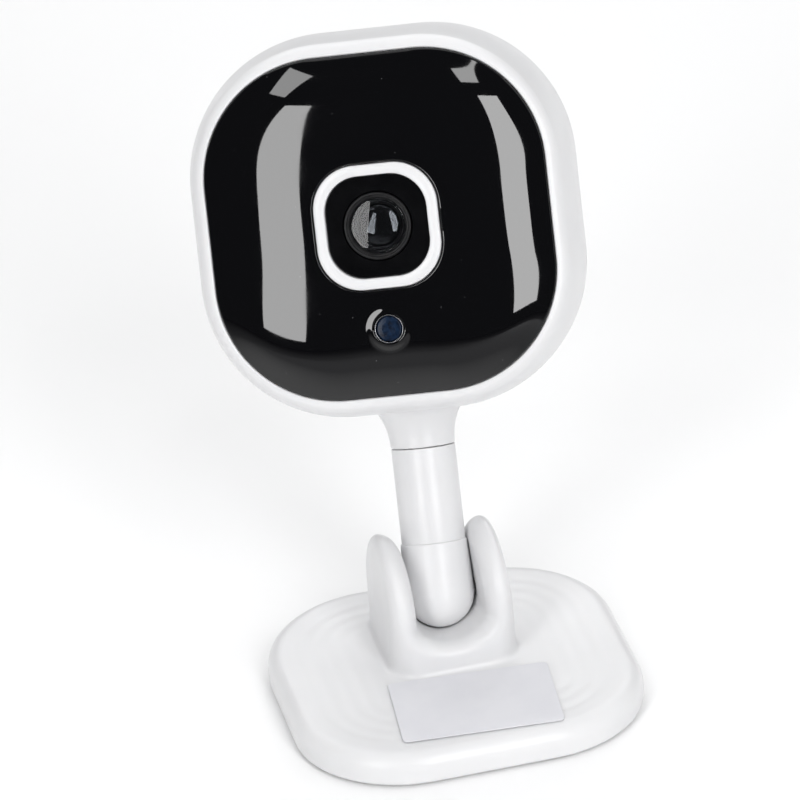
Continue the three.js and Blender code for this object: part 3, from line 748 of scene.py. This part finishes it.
def make_copper():
    return plain_surface(
        "copper_film", (0.50, 0.27, 0.12), (0.62, 0.36, 0.17), (0.25, 0.4),
        patch=2.0, grain=0.3, relief=0.003, uniform={"Metallic": 1.0})


white = make_white_plastic()
gloss = make_gloss_black()
window_black = make_window_black()
black = make_black_plastic()
barrel_black = make_barrel_black()
glass = make_lens_glass()
coated_glass = make_coated_glass()
sensor_blue = make_sensor_glass()
silver = make_silver()
label_paper = make_label_paper()
steel = make_steel()

looks = {
    "white_shell": white,
    "black_gloss": gloss,
    "black_plastic": black,
    "lens_glass": glass,
    "sensor_glass": sensor_blue,
    "silver_trim": silver,
    "label": label_paper,
    "steel": steel,
    "rubber": make_rubber(),
    "circuit_board": make_board(),
    "chip": make_chip(),
    "lamp_resin": make_lamp_resin("smoked_lamp_resin", (0.020, 0.012, 0.026), (0.04, 0.025, 0.05)),
    "status_resin": make_lamp_resin("clear_status_resin", (0.50, 0.58, 0.70), (0.62, 0.68, 0.78)),
    "speaker_steel": make_speaker_metal(),
    "copper_film": make_copper(),
}


# ------------ base

def yoke_field(x, y, z):
    """Two rounded ears with a channel between them, and a round pocket for the ball."""
    along = np.abs(y - PIVOT_Y)
    above = z - PIVOT_Z
    side = np.hypot(y - PIVOT_Y, np.maximum(above, 0)) - YOKE_RADIUS
    rise = np.clip((z - BASE_HEIGHT) / (PIVOT_Z + YOKE_RADIUS - BASE_HEIGHT), 0, 1)
    half = YOKE_HALF_FOOT + (YOKE_HALF_TOP - YOKE_HALF_FOOT) * rise
    rounding = YOKE_FOOT_ROUNDING + (YOKE_TOP_ROUNDING - YOKE_FOOT_ROUNDING) * rise
    ears = rounded_both(side, np.abs(x) - half, rounding)
    drop = FLOOR_DROP_MIDDLE + (FLOOR_DROP_END - FLOOR_DROP_MIDDLE) * (along / YOKE_RADIUS) ** 2
    channel = np.hypot(x, np.minimum(above, 0) * CHANNEL_HALF / drop) - CHANNEL_HALF
    body = rounded_both(ears, -channel, CHANNEL_EASE)
    pocket = np.sqrt(x ** 2 + along ** 2 + above ** 2) - POCKET_RADIUS
    body = soft_cut(body, pocket, 0.25)
    return np.maximum(body, BASE_HEIGHT - BASE_ROOF / 2 - z)


def base_field(x, y, z):
    """Plate with shallow rings in its top, and the yoke standing on it, hollow below."""
    inset = -rectangle_distance(x, y, BASE_WIDTH / 2, BASE_DEPTH / 2, BASE_CORNER)
    wave = 0.5 - 0.5 * np.cos(2 * math.pi * (inset - RIPPLE_START) / RIPPLE_PITCH)
    begun = np.clip((inset - RIPPLE_START + 0.6) / 1.2, 0, 1)
    ended = np.clip((RIPPLE_END - inset) / 4, 0, 1)
    top = BASE_HEIGHT - RIPPLE_DEPTH * wave * begun * ended
    plate = rounded_both(-inset, z - top, BASE_EDGE)
    plate = -soft_join(-plate, z - PAD_PROUD, 0.5)
    body = soft_join(plate, yoke_field(x, y, z), FOOT_FILLET)
    hollow_flat = rectangle_distance(x, y, BASE_WIDTH / 2 - BASE_WALL,
                                     BASE_DEPTH / 2 - BASE_WALL, BASE_CORNER - BASE_WALL)
    hollow = np.maximum(hollow_flat, z - (BASE_HEIGHT - BASE_ROOF))
    to_screw = np.hypot(np.abs(x) - BASE_SCREW_X, np.abs(y) - BASE_SCREW_Y)
    boss = np.maximum(to_screw - BASE_BOSS_RADIUS, BASE_BOSS_FOOT - z)
    body = np.maximum(body, -np.maximum(hollow, -boss))
    socket = np.hypot(y - PIVOT_Y, z - PIVOT_Z) - PIN_SOCKET_RADIUS
    return np.maximum(body, -np.maximum(socket, np.abs(x) - PIN_SOCKET_HALF))


def build_base():
    margin = 1.0
    item = field_solid(
        base_field,
        (-BASE_WIDTH / 2 - margin, -BASE_DEPTH / 2 - margin, PAD_PROUD - margin),
        (BASE_WIDTH / 2 + margin, BASE_DEPTH / 2 + margin, PIVOT_Z + YOKE_RADIUS + margin),
        BASE_MESH_PITCH)
    piece(item, "base_body", "base", ROW, white, ["base_shell"], crease=50)


def build_label():
    sheet = plate_y(LABEL_WIDTH / 2, LABEL_DEPTH / 2, LABEL_CORNER,
                    edged_levels(0, LABEL_THICKNESS, 0.06), steps=5)
    sheet.data.transform(Matrix.Rotation(math.pi / 2, 4, "X"))
    sheet.data.transform(Matrix.Rotation(LABEL_TURN, 4, "Z"))
    moved(sheet, *LABEL_CENTRE, BASE_HEIGHT + LABEL_THICKNESS)
    piece(sheet, "blank_sticker", "base", ROW, label_paper, ["base_label"])


# ------------ arm

def build_knuckle():
    """Barrel with a round lower end, and a stub that the post sits on."""
    ball = [(KNUCKLE_RADIUS * math.sin(a), -KNUCKLE_RADIUS * math.cos(a))
            for a in np.linspace(0, math.pi / 2, 32)]
    shoulder = (KNUCKLE_TOP_RADIUS + 0.06, KNUCKLE_TOP - 0.5)
    side = curved([(KNUCKLE_RADIUS, 0), (KNUCKLE_RADIUS, 2.0), (6.0, 5.0), shoulder], 8)
    top = eased([
        (*shoulder, 0),
        (KNUCKLE_TOP_RADIUS, KNUCKLE_TOP, 0.36),
        (STUB_RADIUS, KNUCKLE_TOP, 0),
        (STUB_RADIUS, STUB_TOP, 0),
        (0, STUB_TOP, 0),
    ])
    item = spun_z([*ball, *side[1:-1], *top], 128)
    cut(item, rod_x(PIN_BORE_RADIUS, 2 * KNUCKLE_RADIUS))
    piece(item, "arm_knuckle", "arm", ARM, white, ["tilt_knuckle"])


def build_post():
    """Tube over the stub, closed above, with a spigot that the head turns on."""
    profile = eased([
        (POST_BORE, POST_FOOT, 0),
        (POST_RADIUS, POST_FOOT, 0.01),
        (POST_RADIUS, SWIVEL_SEAM, 0.12),
        (SPIGOT_RADIUS, SWIVEL_SEAM, 0),
        (SPIGOT_RADIUS, SPIGOT_TOP, 0.2),
        (SCREW_BORE, SPIGOT_TOP, 0),
        (SCREW_BORE, SCREW_BORE_FOOT, 0),
        (0, SCREW_BORE_FOOT, 0),
        (0, POST_BORE_TOP, 0),
        (POST_BORE, POST_BORE_TOP, 0),
    ], closed=True)
    item = spun_z(profile, 128, closed=True)
    piece(item, "arm_post", "arm", ARM, white, ["swivel_post"])


# ------------ head shells

def bezel_outline(across, angles):
    """Follows the panel's corners inside and the head's corners outside."""
    blend = min(max((across - PANEL_HALF - 0.2) / 2.4, 0), 1)
    return square_reach(angles, PANEL_SQUARENESS + (HEAD_SQUARENESS - PANEL_SQUARENESS) * blend)


def build_bezel():
    """Rounded white frame with a lip that carries the panel."""
    outer = curved([(29.75, -27.35), (30.35, -27.1), (31.0, -26.4), (31.55, -25.2), (32.3, -21.5),
                    (32.75, -18.0), (HEAD_HALF, -14.9), (HEAD_HALF - 0.03, HEAD_SEAM + 0.05)], 6)
    inner = eased([
        (HEAD_HALF - 0.03, HEAD_SEAM + 0.05, 0),
        (HEAD_HALF - 0.15, HEAD_SEAM + 0.1, 0),
        (HEAD_HALF - HEAD_WALL, HEAD_SEAM + 0.1, 0),
        (30.6, -18.0, 1),
        (29.9, -22.8, 0),
        (27.6, -22.8, 0),
        (27.6, -25.0, 0),
        (PANEL_HALF + 0.15, -25.0, 0),
        (PANEL_HALF + 0.15, -27.2, 0.12),
        (29.35, -27.42, 0.1),
        (29.75, -27.35, 0),
    ])
    item = spun([*outer, *inner[1:-1]], 256, bezel_outline, closed=True)
    piece(item, "bezel_frame", "head", HEAD, white, ["front_bezel"])


pillow_line = np.vstack([
    [(0, HEAD_SEAM + 0.22), (32.4, HEAD_SEAM + 0.22), (32.78, HEAD_SEAM + 0.27)],
    curved([(32.85, -11.5), (32.7, -8.0), (32.2, -4.0), (31.0, 0.0), (28.6, 4.5),
            (25.6, 7.6), (22.0, 9.6), (18.5, 10.35), (15.0, HEAD_BACK)], 10),
    [(0, HEAD_BACK)],
])
neck_line = np.vstack([
    [(0, SWIVEL_SEAM + SEAM_GAP), (POST_RADIUS - 0.15, SWIVEL_SEAM + SEAM_GAP)],
    curved([(POST_RADIUS + 0.02, SWIVEL_SEAM + SEAM_GAP + 0.16), (5.72, 27.6), (6.1, 29.4),
            (6.8, 31.2), (7.7, 32.8), (8.5, 34.6), (8.8, 37.0)], 8),
    [(8.8, 44.0), (0, 44.0)],
])


def distance_table(line, pitch, margin):
    """Signed distance to a turned profile, sampled on a grid of (across, along)."""
    low = np.array([0.0, line[:, 1].min() - margin])
    high = np.array([line[:, 0].max() + margin, line[:, 1].max() + margin])
    counts = np.ceil((high - low) / pitch).astype(int) + 1
    across, along = np.meshgrid(*[low[i] + pitch * np.arange(counts[i]) for i in range(2)],
                                indexing="ij")
    nearest = np.full(across.shape, 1e9)
    crossings = np.zeros(across.shape, int)
    for (a0, b0), (a1, b1) in zip(line[:-1], line[1:]):
        da, db = a1 - a0, b1 - b0
        share = np.clip(((across - a0) * da + (along - b0) * db) / (da * da + db * db), 0, 1)
        gap = np.hypot(across - a0 - share * da, along - b0 - share * db)
        nearest = np.minimum(nearest, gap)
        if db != 0:
            spans = (along >= min(b0, b1)) & (along < max(b0, b1))
            at = a0 + (along - b0) / db * da
            crossings += spans & (at > across)
    return low, pitch, np.where(crossings % 2 == 1, -nearest, nearest)


def look_up(table, across, along):
    """Reads a distance table between its grid points."""
    low, pitch, values = table
    a = np.clip((across - low[0]) / pitch, 0, values.shape[0] - 1.001)
    b = np.clip((along - low[1]) / pitch, 0, values.shape[1] - 1.001)
    i = a.astype(int)
    j = b.astype(int)
    u = a - i
    v = b - j
    lower = values[i, j] * (1 - u) + values[i + 1, j] * u
    upper = values[i, j + 1] * (1 - u) + values[i + 1, j + 1] * u
    return lower * (1 - v) + upper * v


def rear_field():
    """The pillow-shaped shell with the neck flaring out of its underside."""
    pillow = distance_table(pillow_line, 0.08, 3.0)
    neck = distance_table(neck_line, 0.08, 3.0)

    def field(x, y, z):
        size = np.hypot(x, z) / square_reach(np.arctan2(z, x), HEAD_SQUARENESS)
        body = look_up(pillow, size, y)
        stem = look_up(neck, np.hypot(x, y), z + HEAD_HEIGHT)
        far_from_neck = np.maximum(np.hypot(x, y) - 11, np.abs(z + 31) - 11)
        return np.where(far_from_neck < 0, soft_join(body, stem, 2.0), body)

    return field


def rear_cavity(corners, standoffs):
    """The hollow inside, less the screw bosses and the board's standoffs."""
    wall = curved([(30.9, HEAD_SEAM - 1), (30.9, HEAD_SEAM), (30.7, -8.5), (30.2, -4.8),
                   (29.2, -1.0), (26.9, 3.2), (24.1, 6.0), (20.9, 7.7), (17.9, 8.5)], 4)
    profile = [(0, HEAD_SEAM - 1), (30.0, HEAD_SEAM - 1), *wall, (0, 8.5)]
    cavity = spun(profile, 128, square_outline(HEAD_SQUARENESS))
    bosses = [rod_y(BOSS_RADIUS, HEAD_SEAM + 0.3, 12, x, z) for x, z in corners]
    bosses += [rod_y(STANDOFF_RADIUS, STANDOFF_FOOT, 12, x, z) for x, z in standoffs]
    return cut(cavity, together(bosses))


def build_rear_shell():
    corners = [(sx * HOUSING_SCREW_AT, sz * HOUSING_SCREW_AT) for sx in (-1, 1) for sz in (-1, 1)]
    standoffs = [(side * STANDOFF_X, STANDOFF_Z) for side in (-1, 1)]
    low_corner = (-34, HEAD_SEAM - 1, -41.4)
    high_corner = (34, HEAD_BACK + 1, 34)
    item = field_solid(rear_field(), low_corner, high_corner, SHELL_MESH_PITCH)
    cut(item, rear_cavity(corners, standoffs))
    wells = [rod_y(SCREW_WELL_RADIUS, SCREW_WELL_FLOOR, 14, x, z, 64) for x, z in corners]
    screw_holes = [rod_y(SCREW_HOLE_RADIUS, -13, 3, x, z, 32) for x, z in corners]
    board_holes = [rod_y(STANDOFF_HOLE_RADIUS, -12, -3, x, z, 32) for x, z in standoffs]
    grille = [grille_hole(x, z) for x, z in grille_spots()]
    cut(item, together(wells), together(screw_holes), together(board_holes), together(grille))
    cut(item, rod_z(NECK_BORE, -45, -29, sides=96))
    cut(item, rod_z(WASHER_RECESS, WASHER_FLOOR, -22, sides=96))
    cut(item, moved(plate_y(*USB_MOUTH, mouth_levels()), USB_X, 0, IO_HEIGHT))
    cut(item, button_hole(), card_slot())
    cut(item, rod_z(MICROPHONE_RADIUS, -34, -29, MICROPHONE_X, MICROPHONE_Y, 32))
    piece(item, "rear_shell", "head", HEAD, white, ["rear_housing"])


def grille_spots():
    """Hexagonal cluster of speaker holes."""
    spots = []
    for row in range(-2, 3):
        count = 5 - abs(row)
        height = SPEAKER_Z + row * GRILLE_PITCH * math.sin(math.pi / 3)
        spots.extend(((i - (count - 1) / 2) * GRILLE_PITCH, height) for i in range(count))
    return spots


def grille_hole(x, z):
    """Round hole that opens out a little at the back face."""
    hole = GRILLE_RADIUS
    profile = [(0, 7), (hole, 7), (hole, 10.2), (0.82, 10.4), (0.98, 10.52), (1.1, 12), (0, 12)]
    return moved(spun(profile, 32), x=x, z=z)


def button_hole():
    """Hole for the reset cap, with a small chamfer."""
    hole = BUTTON_HOLE_RADIUS
    profile = [(0, 7), (hole, 7), (hole, 10.3), (2.5, 10.5), (2.5, 12), (0, 12)]
    return moved(spun(profile, 64), x=RESET_X, z=IO_HEIGHT)


def mouth_levels():
    """Straight hole for the socket, with a small countersink at the back face."""
    return [(7.0, 0.0), (10.15, 0.0), (10.35, 0.1), (10.52, 0.32), (12.0, 0.5)]


def card_slot():
    """Narrow slot with round ends in the side of the head."""
    slot = plate_y(0.9, 6.3, 0.88, [(-4, 0), (4, 0)])
    slot.data.transform(Matrix.Rotation(math.pi / 2, 4, "Z"))
    return moved(slot, -HEAD_HALF, CARD_Y, CARD_Z)


# ------------ front panel and optics

def panel_depth(share):
    """Depth of the panel's face at a share of its half width."""
    return PANEL_EDGE_Y - PANEL_RISE * (1 - share ** PANEL_FLATNESS)


def panel_outline(across, angles):
    """Contours that are round in the middle and grow into the panel's rounded square."""
    share = across / PANEL_HALF
    power = 2 + 2.2 * share
    soft = (np.abs(np.cos(angles)) ** power + np.abs(np.sin(angles)) ** power) ** (-1 / power)
    blend = min(max((share - 0.7) / 0.3, 0), 1)
    blend = blend * blend * (3 - 2 * blend)
    return soft * (1 - blend) + square_reach(angles, PANEL_SQUARENESS) * blend


def build_panel():
    """Domed black face with holes for the lens ring and the light sensor."""
    steps = 116
    shares = [i / steps for i in range(steps)] + [0.994]
    front = [(PANEL_HALF * share, panel_depth(share)) for share in shares]
    rim = eased([(*front[-1], 0), (PANEL_HALF + 0.02, panel_depth(1.0) + 0.02, 0.15),
                 (PANEL_HALF + 0.02, panel_depth(1.0) + 0.5, 0)])
    back = [(PANEL_HALF * share, panel_depth(share) + PANEL_THICKNESS) for share in shares[::-4]]
    item = spun([*front, *rim[1:], *back[1:], (0, back[-1][1])], 400, panel_outline)
    raise_mound(item)
    half = RING_HALF + 0.2
    edge = panel_depth(half / PANEL_HALF)
    cut(item, spun(ring_mouth(half, edge), 192, square_outline(RING_SQUARENESS + 0.01)))
    cut(item, sensor_hole())
    piece(item, "face_panel", "head", HEAD, gloss, ["front_panel"])


def ring_mouth(half, edge):
    """Hole for the lens ring, opening out by a small radius at the panel's face."""
    ease = 0.3
    turn = np.linspace(0, math.pi / 2, 7)
    lip = [(half + ease * (1 - math.cos(a)), edge + ease - ease * math.sin(a)) for a in turn]
    return [(0, -20), (half, -20), *lip, (half + ease + 0.05, edge - 6), (0, edge - 6)]


def raise_mound(item):
    """Lifts the panel in a low mound round the light sensor."""
    for vertex in item.data.vertices:
        distance = math.hypot(vertex.co.x, vertex.co.z + SENSOR_DROP)
        rise = (MOUND_FOOT_RADIUS - distance) / (MOUND_FOOT_RADIUS - MOUND_TOP_RADIUS)
        rise = min(max(rise, 0), 1)
        vertex.co.y -= MOUND_HEIGHT * rise * rise * (3 - 2 * rise)


def sensor_hole():
    """Hole for the light sensor with a small rounded lip, square to the panel's face."""
    share = SENSOR_DROP / PANEL_HALF
    slope = PANEL_RISE * PANEL_FLATNESS * share ** (PANEL_FLATNESS - 1) / PANEL_HALF
    hole = SENSOR_HOLE_RADIUS
    tool = spun([(0, -3), (hole + 0.4, -3), (hole + 0.14, 0), (hole + 0.04, 0.05),
                 (hole, 0.16), (hole, 9), (0, 9)], 128)
    tool.data.transform(Matrix.Rotation(math.atan(slope), 4, "X"))
    return moved(tool, 0, panel_depth(share) - MOUND_HEIGHT, -SENSOR_DROP)


def build_ring():
    """White rounded-square ring with a flange behind the panel."""
    profile = eased([
        (RING_INNER, RING_FACE + 4.5, 0),
        (RING_INNER, RING_FACE + 0.1, 0.3),
        (RING_INNER + 0.9, RING_FACE - 0.04, 1.5),
        (RING_HALF, RING_FACE + 0.14, 0.42),
        (RING_HALF, RING_FACE + 3.5, 0),
        (RING_HALF + 1.45, RING_FACE + 3.5, 0),
        (RING_HALF + 1.45, RING_FACE + 4.5, 0),
    ], 6, closed=True)
    item = spun(profile, 192, square_outline(RING_SQUARENESS), closed=True)
    piece(item, "white_ring", "head", HEAD, white, ["lens_ring"])


def build_window():
    """Black plate inside the ring, with a round hole for the lens."""
    half = RING_INNER - 0.12
    front = RING_FACE + 1.3
    back = RING_FACE + 2.6
    bore = LENS_RADIUS + 0.12
    plate = spun([(0, front), (half - 0.1, front), (half, front + 0.1), (half, back), (0, back)],
                 192, square_outline(RING_SQUARENESS))
    hole = spun([(0, front - 5), (bore + 0.3, front - 5), (bore + 0.2, front - 0.02),
                 (bore, front + 0.2), (bore, back + 5), (0, back + 5)], 128)
    cut(plate, hole)
    piece(plate, "lens_plate", "head", HEAD, window_black, ["lens_window"])


def build_barrel():
    """Black lens tube, stepped inwards behind its front glass."""
    front = RING_FACE + 1.0
    profile = eased([
        (LENS_RADIUS, -15.5, 0.2),
        (LENS_RADIUS, front, 0.14),
        (LENS_RADIUS - 0.4, front, 0.08),
        (LENS_RADIUS - 0.55, front + 0.22, 0.05),
        (GLASS_RADIUS + 0.42, front + 0.22, 0.08),
        (GLASS_RADIUS + 0.12, front + 0.62, 0.08),
        (GLASS_RADIUS + 0.08, front + 2.3, 0),
        (4.1, front + 2.4, 0.05),
        (3.95, front + 2.9, 0.05),
        (3.6, front + 3.0, 0.05),
        (3.5, front + 4.6, 0),
        (3.0, front + 4.7, 0.05),
        (2.8, front + 5.8, 0),
        (2.1, front + 6.2, 0.05),
        (1.9, front + 7.2, 0),
        (3.4, front + 7.8, 0),
        (3.4, -15.5, 0.1),
    ], 4, closed=True)
    item = spun(profile, 128, closed=True)
    piece(item, "barrel", "head", HEAD, barrel_black, ["lens_barrel"])


def lens_shell(radius, front, curve, back):
    """A lens with a spherical front of the given radius of curvature and a flat back."""
    rise = [radius * i / 20 for i in range(20)] + [radius - 0.08]
    face = [(r, front + curve - math.sqrt(curve ** 2 - r ** 2)) for r in rise]
    edge = front + curve - math.sqrt(curve ** 2 - radius ** 2)
    return spun([*face, (radius, edge + 0.08), (radius, back), (0, back)], 128)


def build_lenses():
    item = lens_shell(GLASS_RADIUS, RING_FACE + 1.5, GLASS_CURVE, RING_FACE + 2.9)
    piece(item, "outer_lens", "head", HEAD, glass, ["lens_glass"])
    inner = lens_shell(INNER_LENS_RADIUS, RING_FACE + 3.4, INNER_LENS_CURVE, RING_FACE + 5.2)
    piece(inner, "inner_lens", "head", HEAD, coated_glass)


def build_sensor():
    """Round bluish sensor in a thin metal collar."""
    dome = spun(eased([(0, -30.8, 0), (1.2, -30.8, 0.5), (SENSOR_RADIUS - 0.02, -30.72, 0.32),
                       (SENSOR_RADIUS, -21.7, 0), (0, -21.7, 0)], 10), 96)
    piece(moved(dome, z=-SENSOR_DROP), "sensor_dome", "head", HEAD, sensor_blue,
          ["light_sensor"])
    inner = SENSOR_RADIUS + 0.1
    outer = SENSOR_RADIUS + 0.22
    collar = spun(eased([(inner, -27.4, 0), (inner, -30.95, 0.04), (outer, -30.95, 0.07),
                         (outer + 0.02, -27.4, 0)], 4, closed=True), 96, closed=True)
    piece(moved(collar, z=-SENSOR_DROP), "sensor_collar", "head", HEAD, silver,
          ["light_sensor_sleeve"])


# ------------ back of the head

def build_reset_cap():
    cap = spun(eased([(0, 6.9, 0), (1.0, 6.9, 0), (1.0, 7.4, 0), (2.9, 7.4, 0.1), (2.9, 7.9, 0.1),
                      (2.0, 7.9, 0), (2.0, HEAD_BACK, 0.3), (1.2, 10.38, 0.6), (0, 10.3, 0)]), 64)
    piece(moved(cap, x=RESET_X, z=IO_HEIGHT), "reset_cap", "reset_button", HEAD, white,
          ["reset_button"])


def build_housing_screws():
    """Cross-head screws at the bottom of their wells."""
    for number, (x, z) in enumerate(((-1, -1), (1, -1), (1, 1), (-1, 1)), 1):
        head = spun(eased([(0, -18.7, 0), (0.95, -18.7, 0), (0.95, 1.8, 0), (2.0, 1.8, 0.1),
                           (2.0, 2.6, 0.35), (1.1, 3.1, 1.0), (0, 3.15, 0)]), 64)
        for turn in (0, math.pi / 2):
            blade = plate_y(1.15, 0.22, 0.1, [(2.3, -0.08), (3.6, 0.05)], 3)
            blade.data.transform(Matrix.Rotation(turn + 0.5 * number, 4, "Y"))
            cut(head, blade)
        piece(moved(head, HOUSING_SCREW_AT * x, 0, HOUSING_SCREW_AT * z),
              f"screw_{number}", "head", HEAD, steel, [f"housing_screw_{number}"])


# ------------ what stays as CAD

def dress_cad_nodes():
    """Gives every node of the part the material of its slot."""
    for part in frame["record"]["subparts"]:
        node = frame["nodes"][part["node"]]
        node.data.materials.clear()
        node.data.materials.append(looks[part["material_slot"]])


# ------------ studio

def make_floor():
    """Pale floor with painted shade: greyer some way in front of the part, standing in for the dark studio that
    the panel mirrors there.
    """
    cells = 24
    half = 3.0
    height = -0.0002
    points = [(-half + 2 * half * i / cells, -half + 2 * half * j / cells, height)
              for j in range(cells + 1) for i in range(cells + 1)]
    row = cells + 1
    faces = [(j * row + i, j * row + i + 1, (j + 1) * row + i + 1, (j + 1) * row + i)
             for j in range(cells) for i in range(cells)]
    floor = raw_solid(points, faces)
    floor.name = "studio_floor"
    material, tree, shader = new_material("pale_floor", {"Specular IOR Level": 0.1})
    position = tree.nodes.new("ShaderNodeTexCoord")
    parts = tree.nodes.new("ShaderNodeSeparateXYZ")
    tree.links.new(position.outputs["Generated"], parts.inputs["Vector"])
    # painted shade: the floor colour turns grey in front of the part to stand for an unlit studio there, not a
    # real grey floor
    painted_shade_until = 0.457
    pale_from = 0.487
    tree.links.new(colour_between(tree, parts.outputs["Y"], (0.36, 0.36, 0.37),
                                  (0.95, 0.95, 0.95), painted_shade_until, pale_from),
                   shader.inputs["Base Color"])
    tree.links.new(between(tree, noise(tree, 40.0), 0.85, 0.95), shader.inputs["Roughness"])
    floor.data.materials.append(material)


def toward(azimuth, elevation):
    """Unit vector from the head to a direction; azimuth 0 is the front, 90 the right side."""
    a = math.radians(azimuth)
    e = math.radians(elevation)
    return Vector((math.sin(a) * math.cos(e), -math.cos(a) * math.cos(e), math.sin(e)))


def softbox(name, low, high, width, brightness):
    """A flat light whose lower and upper edges are given as (azimuth, elevation, metres away)."""
    head = Vector((0.0, -0.01, 0.07))
    foot = head + toward(*low[:2]) * low[2]
    top = head + toward(*high[:2]) * high[2]
    middle = (foot + top) / 2
    up = (top - foot).normalized()
    away = middle - head
    away = (away - up * away.dot(up)).normalized()
    data = bpy.data.lights.new(name, "AREA")
    data.shape = "RECTANGLE"
    data.size = width
    data.size_y = (top - foot).length
    data.energy = brightness * data.size * data.size_y * math.pi
    light = bpy.data.objects.new(name, data)
    bpy.context.scene.collection.objects.link(light)
    turn = Matrix((up.cross(away), up, away)).transposed().to_4x4()
    light.matrix_world = Matrix.Translation(middle) @ turn


def make_studio():
    make_floor()
    world = bpy.data.worlds.new("studio")
    world.use_nodes = True
    background = next(n for n in world.node_tree.nodes if n.type == "BACKGROUND")
    background.inputs["Color"].default_value = (0.9, 0.93, 1.0, 1)
    background.inputs["Strength"].default_value = 0.06
    bpy.context.scene.world = world
    softbox("left_softbox", (-44, 4, 0.66), (-40.5, 47, 1.95), 0.213, 7.2)
    softbox("right_softbox", (11.6, 5, 0.97), (14.3, 50, 0.98), 0.22, 8.2)
    softbox("left_lamp", (-59, 53, 0.9), (-57, 64, 0.9), 0.15, 5.0)
    softbox("right_lamp", (6, 59, 0.9), (6, 66, 0.9), 0.16, 6.0)
    softbox("overhead_softbox", (170, 60, 1.7), (-10, 76, 1.7), 2.0, 0.85)
    softbox("back_softbox", (170, 25, 1.9), (170, 62, 1.5), 1.8, 2.1)
    softbox("left_fill", (-120, 1, 1.5), (-120, 50, 1.5), 1.3, 0.6)
    softbox("right_fill", (72, 1, 1.5), (72, 60, 1.5), 1.3, 0.85)
    bpy.context.scene.view_settings.view_transform = "Standard"


build_base()
build_label()
build_knuckle()
build_post()
build_bezel()
build_rear_shell()
build_panel()
build_ring()
build_window()
build_barrel()
build_lenses()
build_sensor()
build_reset_cap()
build_housing_screws()
dress_cad_nodes()
make_studio()
